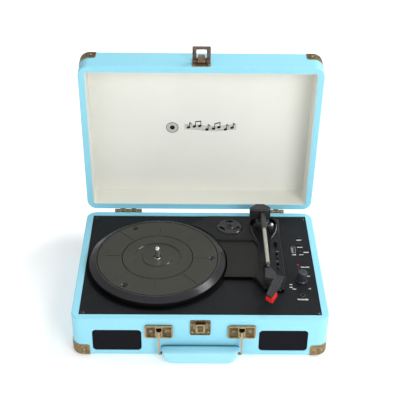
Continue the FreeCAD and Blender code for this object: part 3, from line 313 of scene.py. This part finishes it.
finish = {
    "covering": leatherette("sky leatherette", SKY),
    "grip_cover": leatherette("grip leatherette", (0.345, 0.705, 0.850)),
    "board": moulded("fibre board", (0.22, 0.16, 0.10), 0.8, 0.2, 600.0, 0.00008),
    "rubber": moulded("black rubber", (0.02, 0.02, 0.02), 0.75, 0.3, 900.0, 0.00004),
    "antique_brass": old_brass("antique brass", (0.150, 0.105, 0.055), (0.36, 0.265, 0.140)),
    "polished_brass": bright_metal("polished brass", (0.44, 0.34, 0.20), 0.32),
    "black_plate": moulded("satin black plate", BLACK, 0.50, 0.14, 1300.0, 0.00003),
    "deck_plastic": deck_plastic("deck plastic", (0.0085, 0.0088, 0.0110),
                                 (0.0120, 0.0122, 0.0114)),
    "platter_plastic": turned_plastic("platter plastic", (0.0365, 0.0360, 0.0300),
                                      PLATTER_MID, 0.42),
    "steel": bright_metal("brushed steel", (0.66, 0.66, 0.67), 0.26),
    "chrome": bright_metal("bright chrome", (0.80, 0.80, 0.81), 0.12),
    "motor_steel": bright_metal("zinc steel", (0.45, 0.45, 0.47), 0.42),
    "pulley_brass": bright_metal("pulley brass", (0.72, 0.55, 0.28), 0.22),
    "speaker_steel": moulded("speaker frame paint", (0.03, 0.03, 0.03), 0.55),
    "cone_paper": liner_paper("cone paper", (0.05, 0.05, 0.05)),
    "grille_fabric": grille_weave("grille weave"),
    "circuit_board": moulded("circuit board", (0.02, 0.14, 0.05), 0.4),
    "control_black": moulded("control black", (0.010, 0.010, 0.012), 0.20, 0.55),
    "lens_red": moulded("red lens", (0.55, 0.02, 0.015), 0.18, 0.5),
    "liner_paper": liner_paper("cream liner", (0.80, 0.80, 0.735)),
    "arm_black": moulded("arm plastic", (0.026, 0.026, 0.029), 0.34, 0.40),
    "tube_metal": bright_metal("satin arm tube", (0.60, 0.585, 0.520), 0.36),
    "stylus_red": moulded("red stylus plastic", (0.74, 0.014, 0.010), 0.28, 0.5, edge_lift=0.1),
    "bush_brass": bright_metal("bush brass", (0.70, 0.56, 0.30), 0.25),
}
for part in frame["record"]["subparts"]:
    node = nodes[part["node"]]
    if not node.material_slots:
        node.data.materials.append(finish[part["material_slot"]])
    for held in node.material_slots:
        held.material = finish[part["material_slot"]]


# ---- shared making ----
WELD, FINE_WELD, FLAT_DEG = 1e-6, 1e-7, 0.6


def finished(name, bm, material, body, smooth_deg=35.0):
    """Turn a bmesh, in metres, into a piece that rides on one body."""
    mesh = bpy.data.meshes.new(name)
    bm.normal_update()
    bm.to_mesh(mesh)
    bm.free()
    for face in mesh.polygons:
        face.use_smooth = True
    mesh.set_sharp_from_angle(angle=math.radians(smooth_deg))
    piece = bpy.data.objects.new(name, mesh)
    scene.collection.objects.link(piece)
    mesh.materials.append(material)
    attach(piece, body)
    return piece


def softened(node, width, segments=2, limit_deg=28.0):
    """A copy of a CAD node with its corners rounded over, standing for that node."""
    source = nodes[node]
    bm = bmesh.new()
    bm.from_mesh(source.data)
    bmesh.ops.remove_doubles(bm, verts=bm.verts, dist=WELD)
    bmesh.ops.dissolve_limit(bm, angle_limit=math.radians(FLAT_DEG), use_dissolve_boundaries=False,
                             verts=bm.verts, edges=bm.edges, delimit={"NORMAL"})
    sharp = [e for e in bm.edges
             if len(e.link_faces) == 2 and e.calc_face_angle(0.0) > math.radians(limit_deg)]
    bmesh.ops.bevel(bm, geom=sharp, offset=width, offset_type="OFFSET", segments=segments,
                    profile=0.5, affect="EDGES", clamp_overlap=True, material=-1, loop_slide=True)
    slot_name = next(part["material_slot"] for part in frame["record"]["subparts"]
                     if part["node"] == node)
    piece = finished(node + "_soft", bm, finish[slot_name], source["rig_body"], 30.0)
    modifier = piece.modifiers.new("even", "WEIGHTED_NORMAL")
    modifier.keep_sharp = True
    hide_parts(node)
    return piece


def spun(bm, corners, steps, weld):
    """Turn a closed outline of (radius, height) points once round the upright axis."""
    verts = [bm.verts.new((r, 0.0, z)) for r, z in corners]
    edges = [bm.edges.new(pair) for pair in zip(verts, verts[1:] + verts[:1])]
    bmesh.ops.spin(bm, geom=verts + edges, cent=(0, 0, 0), axis=(0, 0, 1), dvec=(0, 0, 0),
                   angle=2 * math.pi, steps=steps, use_merge=True, use_normal_flip=False,
                   use_duplicate=False)
    if weld:
        bmesh.ops.remove_doubles(bm, verts=bm.verts, dist=weld)
        bmesh.ops.recalc_face_normals(bm, faces=bm.faces)


def block(bm, place, size):
    """Add a box of the given size, in metres, at a place."""
    made = bmesh.ops.create_cube(bm, size=1.0)
    bmesh.ops.transform(bm, matrix=place @ Matrix.Diagonal((*size, 1.0)), verts=made["verts"])


def shifted(x, y, z=0.0):
    """A move by x and y in mm and z in metres."""
    return Matrix.Translation((x * MM, y * MM, z))


def solid_of(curve, weld):
    """The solid form of a round bar or of printed words."""
    holder = bpy.data.objects.new(curve.name, curve)
    scene.collection.objects.link(holder)
    graph = bpy.context.evaluated_depsgraph_get()
    mesh = bpy.data.meshes.new_from_object(holder.evaluated_get(graph))
    bpy.data.objects.remove(holder)
    bpy.data.curves.remove(curve)
    bm = bmesh.new()
    bm.from_mesh(mesh)
    bpy.data.meshes.remove(mesh)
    bmesh.ops.remove_doubles(bm, verts=bm.verts, dist=weld)
    return bm


def refinish(piece, material, wanted):
    """Give a second finish to the faces that wanted(centre in mm, normal) picks."""
    piece.data.materials.append(material)
    index = len(piece.data.materials) - 1
    for face in piece.data.polygons:
        if wanted(face.center / MM, face.normal):
            face.material_index = index


def reshape(piece, moved):
    """Move the vertices of a piece: moved(x, y, z) in mm gives the new place."""
    for vert in piece.data.vertices:
        vert.co = Vector(moved(*(vert.co / MM))) * MM


# ---- camera, light and floor ----
CAMERA_AT = Vector((-0.0155, -1.0788, 0.8984))
YAW, PITCH, ROLL = 0.0133, 0.5904, 0.0137
LENS_MM, SURROUND, FLOOR_GLOW, FLOOR_HALF = 84.01, 0.50, 0.30, 8.0
ahead = Vector((math.sin(YAW) * math.cos(PITCH), math.cos(YAW) * math.cos(PITCH),
                -math.sin(PITCH)))
side = Vector((math.cos(YAW), -math.sin(YAW), 0.0))
above = side.cross(ahead)
right = math.cos(ROLL) * side + math.sin(ROLL) * above
up = math.cos(ROLL) * above - math.sin(ROLL) * side
lens = bpy.data.cameras.new("camera")
lens.sensor_width = 36.0
lens.lens = LENS_MM
lens.clip_start = 0.05
lens.clip_end = 50.0
camera = bpy.data.objects.new("camera", lens)
turn = Matrix((right, up, -ahead)).transposed().to_4x4()
camera.matrix_world = Matrix.Translation(CAMERA_AT) @ turn
scene.collection.objects.link(camera)
scene.camera = camera

scene.view_settings.view_transform = "Standard"
scene.view_settings.look = "None"
world = bpy.data.worlds.new("studio")
scene.world = world
world.use_nodes = True
world.node_tree.nodes["Background"].inputs["Color"].default_value = (1.0, 1.0, 1.0, 1.0)
world.node_tree.nodes["Background"].inputs["Strength"].default_value = SURROUND


def soft_light(name, at, aim, size, watts):
    """A rectangular softbox at one place, turned to face another."""
    data = bpy.data.lights.new(name, "AREA")
    data.shape = "RECTANGLE"
    data.size, data.size_y = size
    data.energy = watts
    lamp = bpy.data.objects.new(name, data)
    lamp.location = at
    lamp.rotation_euler = (Vector(aim) - Vector(at)).to_track_quat("-Z", "Y").to_euler()
    scene.collection.objects.link(lamp)


soft_light("key", (1.15, -1.75, 1.25), (0, 0.05, 0.12), (1.2, 1.2), 26.0)
soft_light("overhead", (1.05, 0.60, 1.65), (-0.03, -0.02, 0.08), (0.80, 0.55), 15.0)
soft_light("spark", (1.39, 0.03, 1.11), (-0.03, 0.0, 0.08), (0.50, 0.50), 8.5)
soft_light("fill", (-1.6, -1.5, 1.2), (0, 0, 0.1), (1.6, 1.2), 6.5)

bm = bmesh.new()
bmesh.ops.create_grid(bm, x_segments=1, y_segments=1, size=FLOOR_HALF)
mesh = bpy.data.meshes.new("floor")
bm.to_mesh(mesh)
bm.free()
floor = bpy.data.objects.new("floor", mesh)
scene.collection.objects.link(floor)
pale = Finish("pale floor", (0.93, 0.93, 0.93), rough=0.9, specular=0.1)
pale.color(pale.blend(pale.noise(3.0, 2.0), (0.925, 0.925, 0.925), (0.94, 0.94, 0.94)))
pale.set("Emission Color", (1.0, 1.0, 1.0, 1.0))
pale.set("Emission Strength", FLOOR_GLOW)
mesh.materials.append(pale.mat)

# ---- rounded-over metal and plastic pieces ----
ROUNDED = {"cue_platform": 0.0002, "pivot_housing": 0.0007, "headshell": 0.0004,
           "handle_plates": 0.0004, "catch_plate": 0.0004, "latch_plate": 0.0004,
           "latch_lever": 0.0006, "latch_bail": 0.0005, "handle_links": 0.0003,
           "arm_neck": 0.0004, "volume_knob": 0.0008, "tonearm_turret": 0.0004}
soft = {node: softened(node, width) for node, width in ROUNDED.items()}
# painted light and shade: a darker copy of the old brass for shade, a lighter copy for highlights,
# and near-black for the shade in slots and gaps
shaded_brass = old_brass("shaded brass", (0.075, 0.052, 0.028), (0.200, 0.145, 0.078), 0.6)
lit_brass = old_brass("lit brass highlight", (0.24, 0.175, 0.095), (0.44, 0.33, 0.18), 1.0)
slot_shade_black = moulded("slot shade black", (0.004, 0.004, 0.004), 0.7, 0.1)

# handle plates: border and top painted lighter as a highlight, recesses painted darker as shade;
# links that narrow towards the grip, their tops painted black as the shade in the slot
HANDLE_X, PIVOT_Z, CASE_FRONT = 56.2, 50.0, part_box("handle_plates")[1].y / MM
PLATE_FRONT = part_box("handle_plates")[0].y / MM
BORDER, RECESS, PLATE_TOP_Z, LINK_TOP_Z = 0.35, 0.9, 56.0, 48.0
plates = soft["handle_plates"]
refinish(plates, lit_brass, lambda at, out: at.y < PLATE_FRONT + BORDER)
refinish(plates, shaded_brass, lambda at, out: at.y > PLATE_FRONT + RECESS and out.y < -0.7)
refinish(plates, lit_brass, lambda at, out: out.z > 0.7 and at.z > PLATE_TOP_Z)
refinish(soft["handle_links"], slot_shade_black, lambda at, out: at.z > LINK_TOP_Z)
nodes["case_screws"].material_slots[0].material = shaded_brass
LINK_REACH, LINK_LOW_Z, LINK_RUN, LINK_END_SHARE = 2.0, 12.0, 24.0, 0.55


def slimmed(x, y, z):
    """Narrow the straps from their full width down to the grip pins."""
    run = min(max((z - LINK_LOW_Z) / LINK_RUN, 0.0), 1.0)
    share = LINK_END_SHARE + (1.0 - LINK_END_SHARE) * run
    if abs(abs(x) - HANDLE_X) > LINK_REACH:
        return x, y, z
    middle = math.copysign(HANDLE_X, x)
    return middle + (x - middle) * share, y, z


reshape(soft["handle_links"], slimmed)

# catch: raised block with a ring painted lighter as a highlight, plate and middle painted darker
# as shade, and the gaps round it and the block's top painted black as shade
CATCH_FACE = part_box("catch_plate")[1].y / MM - 1.6
BLOCK_RISE, BLOCK_HALF, BLOCK_SIDE, BLOCK_MIDDLE, BLOCK_ROOF_Z = 3.0, 6.8, 5.9, 4.1, 58.0
RING_DEPTH, MIDDLE_DEPTH, PLATE_DEPTH, BLOCK_DEPTH = 3.6, 3.4, 0.5, 0.3


def raised(x, y, z):
    """Lift the block on the plate a little."""
    on_block = abs(x) < BLOCK_HALF and y < CATCH_FACE - BLOCK_DEPTH
    return x, y, z + (BLOCK_RISE if on_block else 0.0)


catch = soft["catch_plate"]
reshape(catch, raised)
refinish(catch, shaded_brass, lambda at, out: at.y > CATCH_FACE - PLATE_DEPTH)
refinish(catch, lit_brass, lambda at, out: at.y < CATCH_FACE - RING_DEPTH and out.y < -0.3)
refinish(catch, shaded_brass,
         lambda at, out: (CATCH_FACE - MIDDLE_DEPTH < at.y < CATCH_FACE - PLATE_DEPTH
                          and abs(at.x) < BLOCK_MIDDLE and out.y < -0.7))
refinish(catch, slot_shade_black,
         lambda at, out: (at.y < CATCH_FACE - BLOCK_DEPTH and abs(at.x) > BLOCK_SIDE
                          and abs(out.x) > 0.8))
refinish(catch, slot_shade_black,
         lambda at, out: (at.y < CATCH_FACE - BLOCK_DEPTH and abs(at.x) < 6.3
                          and out.z > 0.8 and at.z > BLOCK_ROOF_Z))

# draw latch: dull straps with a dark bar, a warm lever with a short lip and dark ears
BAR_Z, EARS, EARS_Z, LIP_FROM_Y, LIP_SHARE = 345.0, (5.4, 11.0), 327.0, 129.0, 0.62
dull_strap = old_brass("dull strap metal", (0.085, 0.065, 0.058), (0.200, 0.150, 0.135), 0.5)
dark_bar = old_brass("dark bar metal", (0.006, 0.004, 0.003), (0.028, 0.018, 0.013), 0.2)
warm_brass = old_brass("warm lever brass", (0.200, 0.130, 0.090), (0.400, 0.280, 0.200), 0.8)
soft["latch_bail"].data.materials[0] = dull_strap
refinish(soft["latch_bail"], dark_bar, lambda at, out: at.z > BAR_Z)
soft["latch_lever"].data.materials[0] = warm_brass
reshape(soft["latch_lever"],
        lambda x, y, z: (x, y if y < LIP_FROM_Y else LIP_FROM_Y + (y - LIP_FROM_Y) * LIP_SHARE, z))
refinish(soft["latch_plate"], dark_bar,
         lambda at, out: EARS[0] < abs(at.x) < EARS[1] and at.z > EARS_Z)

# knob, cue platform and arm collar
CUE_DOME_X, CUE_DOME_Z = 104.0, 75.0
soft["volume_knob"].data.materials[0] = moulded("knob plastic", (0.034, 0.034, 0.042), 0.26, 0.5)
soft["cue_platform"].data.materials[0] = bright_metal("satin chrome", (0.66, 0.66, 0.70), 0.30)
refinish(soft["cue_platform"], finish["arm_black"],
         lambda at, out: at.x < CUE_DOME_X or at.z < CUE_DOME_Z)
nodes["arm_collar"].material_slots[0].material = bright_metal("collar metal", (0.20, 0.20, 0.21),
                                                              0.30)

# ---- platter: glossy rim, matt top, and near-black painted shade on the skirt, the hole round the spindle and some spokes ----
RIM_Z, SKIRT_R, FLAT_R = 74.8 * MM, 97.6 * MM, 89.0 * MM
DISH_IN, DISH_OUT, WALL_TILT = 20.0 * MM, 36.0 * MM, 0.96
HUB_RIM, PLATTER_FLAT, DIMPLE_R, DIMPLE_REACH = 6.4 * MM, 79.9 * MM, 78.5 * MM, 5.4 * MM
DIMPLES_AT, LIT_RIBS_AT, NEAR_DEG = (-2.0, 117.0, 236.0), (43.0, 88.0, 223.0, 268.0), 5.0
TOP, RIM, SHADE_BLACK = 0, 1, 2
platter = softened("platter", 0.00022, 2, 20.0)
rim_finish = turned_plastic("platter rim plastic", (0.020, 0.0205, 0.024), PLATTER_MID, 0.20)
shade_black_finish = moulded("platter shade black", (0.003, 0.003, 0.003), 0.6, 0.1)
platter.data.materials.append(rim_finish)
platter.data.materials.append(shade_black_finish)


def off_axis(at):
    """How far a point lies from the platter's axis."""
    return Vector((at.x - PLATTER_MID.x, at.y - PLATTER_MID.y)).length


def platter_part(face):
    """Which of the platter's finishes a face takes."""
    at, out = face.center, off_axis(face.center)
    reach = max(off_axis(platter.data.vertices[k].co) for k in face.vertices)
    # painted shade: the skirt, the hole round the spindle and the spokes turned from the light
    # take near-black; the spokes turned to the light and the dimples take the glossy rim finish
    if at.z < RIM_Z or (out > SKIRT_R and face.normal.z < 0.5) or reach < HUB_RIM:
        return SHADE_BLACK
    if out > FLAT_R or (face.normal.z < WALL_TILT and DISH_IN < out < DISH_OUT):
        return RIM
    if out <= DISH_OUT or at.z >= PLATTER_FLAT:
        return TOP
    round_at = math.degrees(math.atan2(at.y - PLATTER_MID.y, at.x - PLATTER_MID.x))
    spots = DIMPLES_AT if abs(out - DIMPLE_R) < DIMPLE_REACH else LIT_RIBS_AT
    pale = any(abs((round_at - spot + 180.0) % 360.0 - 180.0) < NEAR_DEG for spot in spots)
    return RIM if pale else SHADE_BLACK


for face in platter.data.polygons:
    face.material_index = platter_part(face)

# ---- ring round the platter: a thin near-black ring on the plate, painted shadow under the platter ----
plate_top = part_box("top_plate")[1].z
WELL_IN, WELL_OUT, WELL_H = 80 * MM, 103.4 * MM, 0.4 * MM
ease = min(0.3 * MM, WELL_H * 0.45)
bm = bmesh.new()
spun(bm, [(WELL_IN, plate_top), (WELL_OUT, plate_top), (WELL_OUT, plate_top + WELL_H - ease),
          (WELL_OUT - ease, plate_top + WELL_H), (WELL_IN, plate_top + WELL_H)], 128, WELD)
bmesh.ops.translate(bm, verts=bm.verts, vec=(PLATTER_MID.x, PLATTER_MID.y, 0.0))
finished("platter_shadow_ring", bm, shade_black_finish, "case")


# ---- rods and beads ----
def bead(name, points, radius, material, body, thin_ends=1.0):
    """Round bar through the points, with ends thinned to a share of its radius."""
    curve = bpy.data.curves.new(name, "CURVE")
    curve.dimensions = "3D"
    curve.bevel_depth = radius
    curve.bevel_resolution = 3
    curve.use_fill_caps = True
    line = curve.splines.new("NURBS")
    line.points.add(len(points) - 1)
    for k, (spot, at) in enumerate(zip(line.points, points)):
        spot.co = (*at, 1.0)
        spot.radius = thin_ends if k in (0, len(points) - 1) else 1.0
    line.order_u = 3
    line.use_endpoint_u = True
    line.resolution_u = 8
    bm = solid_of(curve, WELD)
    bmesh.ops.recalc_face_normals(bm, faces=bm.faces)
    finished(name, bm, material, body)


# beads on the arm well's rim: the right one bright metal that catches the lamps, the left one pale
# grey, a painted highlight along that edge
deck_top = 74.0 * MM
right_edge = [(117.0, 86.0), (116.9, 76.0), (114.6, 66.0), (111.2, 58.0), (107.0, 50.0)]
bead("well_bead_right", [(x * MM, y * MM, deck_top + 0.1 * MM) for x, y in right_edge], 0.55 * MM,
     bright_metal("well bead metal", (0.62, 0.63, 0.66), 0.3), "case", 0.4)
left_edge = [(77.0, 84.0), (78.6, 70.0), (82.0, 56.0), (86.0, 44.0)]
bead("well_bead_left", [(x * MM, y * MM, deck_top) for x, y in left_edge], 0.4 * MM,
     moulded("well edge highlight plastic", (0.10, 0.10, 0.11), 0.3, 0.5), "case", 0.4)

# ---- wrapped handle grip ----
low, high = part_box("handle_grip")
middle, half = (low + high) / 2, (high - low) / 2
CORNER_REACH, EDGE_REACH, TOP_REACH = 17.0 * MM, 6.5 * MM, 2.2 * MM
EDGE_SHARE, DROP, TUCK, CUTS = 0.42, 1.28, 0.030, 31
bm = bmesh.new()
bmesh.ops.create_cube(bm, size=2.0)
bmesh.ops.subdivide_edges(bm, edges=bm.edges, cuts=CUTS, use_grid_fill=True)
for vert in bm.verts:
    across, through, rise = vert.co
    x, z = across * half.x, rise * half.z
    inside = min(half.x - abs(x), half.z + z, (half.z - z) * EDGE_REACH / TOP_REACH)
    corner = Vector((abs(x) - half.x + CORNER_REACH, -z - half.z + CORNER_REACH))
    if corner.x > 0 and corner.y > 0:
        corner *= max(corner) / corner.length
        x = math.copysign(half.x - CORNER_REACH + corner.x, x)
        z = -(half.z - CORNER_REACH + corner.y)
        inside = CORNER_REACH - corner.length
    inside = max(inside, 0.0)
    swell = math.sqrt(1.0 - (1.0 - min(inside / EDGE_REACH, 1.0)) ** 2)
    thick = half.y * (EDGE_SHARE + (1.0 - EDGE_SHARE) * swell)
    tuck = 1.0 - (TUCK * through * through if inside < WELD else 0.0)
    vert.co = middle + Vector((x * tuck, through * thick, z * (DROP if z < 0 else 1.0)))
bmesh.ops.smooth_vert(bm, verts=bm.verts, factor=0.4, use_axis_x=True, use_axis_y=True,
                      use_axis_z=True)
bmesh.ops.recalc_face_normals(bm, faces=bm.faces)
grip = finished("grip_wrap", bm, finish["grip_cover"], "handle", 180.0)
rounding = grip.modifiers.new("soft", "SUBSURF")
rounding.levels = rounding.render_levels = 1
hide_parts("handle_grip")

# seam along the top back edge, its dark teal a painted shadow of the gap between grip and case,
# and the stitches beside it
seam_y, seam_z = high.y - 0.2 * MM, high.z - 0.5 * MM
seam_line = ((-53.2, 3.0), (-52.4, 0.6), (-49.0, 0.0), (-20.0, 0.0), (20.0, 0.0), (49.0, 0.0),
             (52.4, 0.6), (53.2, 3.0))
bead("grip_seam", [(x * MM, seam_y, seam_z - drop * MM) for x, drop in seam_line], 0.75 * MM,
     moulded("teal seam gap shade", (0.012, 0.165, 0.215), 0.7, 0.2), "handle", 0.6)
STITCH_END, STITCH_STEP, STITCH_IN, STITCH_SINK = 48.0, 3.0, 3.4 * MM, 0.05 * MM
stitch = Matrix.Diagonal((2.1 * MM, 0.55 * MM, 0.5 * MM, 1.0))
bm = bmesh.new()
for k in range(int(2 * STITCH_END / STITCH_STEP) + 1):
    made = bmesh.ops.create_uvsphere(bm, u_segments=6, v_segments=4, radius=0.5)
    place = Matrix.Translation(((k * STITCH_STEP - STITCH_END) * MM, high.y - STITCH_IN,
                                high.z - STITCH_SINK))
    bmesh.ops.transform(bm, matrix=place @ stitch, verts=made["verts"])
finished("grip_stitches", bm, moulded("blue thread", (0.30, 0.66, 0.80), 0.8, 0.2, 2600.0, 0.0001),
         "handle")

# black backs behind the handle plates' slots, painted shade in the slots: width, lower and upper
# edge in mm
bm = bmesh.new()
for sign in (-1, 1):
    for wide, z0, z1 in ((7.6, PIVOT_Z - 2.2, PIVOT_Z + 4.0), (4.0, 36.2, PIVOT_Z)):
        block(bm, shifted(sign * HANDLE_X, CASE_FRONT - 0.12, (z0 + z1) / 2 * MM),
              (wide * MM, 0.2 * MM, (z1 - z0 - 0.2) * MM))
finished("handle_slot_backs", bm, slot_shade_black, "case")

# eyelets where the link pins enter the grip
EYELET_X, EYELET_IN, EYELET_DROP = 53.0 * MM, 4.4 * MM, 3.4 * MM
eyelet = Matrix.Diagonal((1.1 * MM, 1.6 * MM, 2.4 * MM, 1.0))
bm = bmesh.new()
for sign in (-1, 1):
    made = bmesh.ops.create_uvsphere(bm, u_segments=16, v_segments=10, radius=1.0)
    place = Matrix.Translation((sign * EYELET_X, middle.y - EYELET_IN, high.z - EYELET_DROP))
    bmesh.ops.transform(bm, matrix=place @ eyelet, verts=made["verts"])
finished("grip_eyelets", bm, shaded_brass, "handle")

# rolled lip under the front of the pivot housing, its pale grey a painted highlight along the
# housing's lower edge
lip_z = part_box("pivot_housing")[0].z + 0.5 * MM
lip_highlight_finish = moulded("housing lip", (0.085, 0.085, 0.090), 0.3, 0.5)
for name, ends in (("housing_lip_left", ((77.0, 89.7), (86.6, 88.6))),
                   ("housing_lip_right", ((89.6, 88.3), (106.6, 89.9)))):
    bead(name, [(x * MM, y * MM, lip_z) for x, y in ends], 0.42 * MM, lip_highlight_finish,
         nodes["pivot_housing"]["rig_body"], 0.7)

# ---- printed marks ----
white_print = moulded("white print", (0.80, 0.80, 0.80), 0.6, 0.2)
red_print = moulded("red print", (0.10, 0.020, 0.025), 0.6, 0.2)
grey_print = moulded("grey print", (0.22, 0.22, 0.23), 0.6, 0.2)
black_print = moulded("black print", (0.012, 0.012, 0.012), 0.6, 0.2)
INK = 0.12 * MM


def slabs(name, marks, z, material):
    """Thin printed bars on the case, each given by centre, length and width in mm."""
    bm = bmesh.new()
    for x, y, length, width in marks:
        block(bm, shifted(x, y, z + INK / 2), (length * MM, width * MM, INK))
    finished(name, bm, material, "case")


def lettering(name, text, x, y, tall):
    """Generic control word printed flat on the plate."""
    curve = bpy.data.curves.new(name, "FONT")
    curve.body = text
    curve.size = tall * MM
    curve.align_x = "CENTER"
    curve.align_y = "CENTER"
    curve.extrude = INK / 2
    curve.resolution_u = 2
    curve.offset = 0.09 * MM
    bm = solid_of(curve, FINE_WELD)
    bmesh.ops.translate(bm, verts=bm.verts, vec=(x * MM, y * MM, plate_top + INK / 2))
    finished(name, bm, white_print, "case")


# name, word, centre and height in mm
WORDS = (("word_next", "NEXT", 149.6, 55.8, 3.0), ("word_back", "BACK", 149.5, 37.9, 3.0),
         ("word_play", "PLAY", 149.9, 19.6, 2.8), ("word_usb", "USB", 138.9, 19.6, 3.4),
         ("word_volume", "VOLUME", 152.2, -10.2, 3.2), ("word_max", "MAX", 154.4, -31.1, 2.8),
         ("word_min", "MIN", 132.2, -60.2, 2.9), ("word_end", "10", 153.9, -59.4, 3.6),
         ("word_phones", "PHONES", 142.3, -82.9, 3.9))
for word in WORDS:
    lettering(*word)
slabs("plate_ticks", [(157.4, 25.6, 7.4, 1.7), (128.3, -50.2, 4.0, 1.4), (128.0, -56.2, 4.2, 1.4)],
      plate_top, white_print)
slabs("power_tick", [(142.3, -13.0, 1.0, 9.0)], plate_top, red_print)
slabs("strip_ticks", [(113.8, 16.8, 4.4, 0.9), (112.1, -6.5, 3.6, 0.8)], deck_top, grey_print)

# ---- music motif printed inside the lid ----
HINGE_Y, HINGE_Z, LINER_Z, OPEN_DEG = 130.0 * MM, 67.5 * MM, 104.5 * MM, 86.0
open_lid = (Matrix.Translation((0, HINGE_Y, HINGE_Z))
            @ Matrix.Rotation(math.radians(-OPEN_DEG), 4, "X")
            @ Matrix.Translation((0, -HINGE_Y, -HINGE_Z)))
print_z = LINER_Z - INK * 0.8
MOTIF_Y, SWAY, SWAY_RATE = -2.0, 1.6, 0.085
LINES, LINE_GAP, LINE_WIDE, LINE_X0, LINE_X1, LINE_STEP = 5, 2.0, 0.46, -24.0, 54.0, 2.0
HEAD, STEM_WIDE, FLAG, BEAM_WIDE, STEM_SIDE = (2.9, 2.1), 1.15, (4.4, 1.4), 1.8, 1.7
# each note: x, height on the lines, stem length, whether it has a flag
NOTES = ((-18.0, 1.0, 9.0, True), (-9.0, -1.0, 9.0, False), (-1.0, -3.0, 9.0, False),
         (10.0, 2.0, 9.5, True), (20.0, 0.0, 9.0, False), (28.0, -2.0, 9.0, False),
         (38.0, 3.0, 9.5, True), (48.0, 1.0, 8.5, True))
# each beam joins two of the notes: x and height of both, BEAM_UP above their heads
BEAMS, BEAM_UP = ((-9.0, -1.0, -1.0, -3.0), (20.0, 0.0, 28.0, -2.0)), 8.6


def sway(x):
    """How far the staff swings off its straight line at x."""
    return SWAY * math.sin(x * SWAY_RATE)


bm = bmesh.new()
for line in range(LINES):
    x = LINE_X0
    while x < LINE_X1:
        mid_x = x + LINE_STEP / 2
        y = MOTIF_Y + line * LINE_GAP - 4.0 + sway(mid_x)
        lean = math.atan(SWAY * SWAY_RATE * math.cos(mid_x * SWAY_RATE))
        block(bm, shifted(mid_x, y, print_z) @ Matrix.Rotation(lean, 4, "Z"),
              ((LINE_STEP + 0.3) * MM, LINE_WIDE * MM, INK))
        x += LINE_STEP
for x, step, stem, flag in NOTES:
    y = MOTIF_Y + step + sway(x)
    made = bmesh.ops.create_cone(bm, cap_ends=True, segments=20, radius1=1.0, radius2=1.0,
                                 depth=1.0)
    head = Matrix.Rotation(-0.35, 4, "Z") @ Matrix.Diagonal((HEAD[0] * MM, HEAD[1] * MM, INK, 1.0))
    bmesh.ops.transform(bm, matrix=shifted(x, y, print_z) @ head, verts=made["verts"])
    block(bm, shifted(x + STEM_SIDE, y - stem / 2, print_z), (STEM_WIDE * MM, stem * MM, INK))
    if flag:
        block(bm, shifted(x + 3.2, y - stem + 1.6, print_z) @ Matrix.Rotation(0.75, 4, "Z"),
              (FLAG[0] * MM, FLAG[1] * MM, INK))
for x0, step0, x1, step1 in BEAMS:
    y0, y1 = (MOTIF_Y + step + sway(x) - BEAM_UP for x, step in ((x0, step0), (x1, step1)))
    run = Vector((x1 - x0, y1 - y0))
    lean = Matrix.Rotation(math.atan2(run.y, run.x), 4, "Z")
    block(bm, shifted((x0 + x1) / 2 + STEM_SIDE, (y0 + y1) / 2, print_z) @ lean,
          ((run.length + 0.5) * MM, BEAM_WIDE * MM, INK))
bmesh.ops.transform(bm, matrix=open_lid, verts=bm.verts)
finished("lid_motif_staves", bm, black_print, "lid")

# a disc and three rings: inner and outer radius in mm
RINGS, RINGS_X, PIN_HOLE = ((0.0, 4.0), (5.3, 5.8), (6.9, 7.3), (8.3, 9.3)), -42.5, 0.02
bm = bmesh.new()
for r_in, r_out in RINGS:
    inner, outer = max(r_in, PIN_HOLE) * MM, r_out * MM
    spun(bm, [(inner, -INK / 2), (outer, -INK / 2), (outer, INK / 2), (inner, INK / 2)], 48, None)
bmesh.ops.remove_doubles(bm, verts=bm.verts, dist=FINE_WELD)
bmesh.ops.recalc_face_normals(bm, faces=bm.faces)
bmesh.ops.transform(bm, matrix=open_lid @ shifted(RINGS_X, MOTIF_Y, print_z), verts=bm.verts)
finished("lid_motif_rings", bm, black_print, "lid")
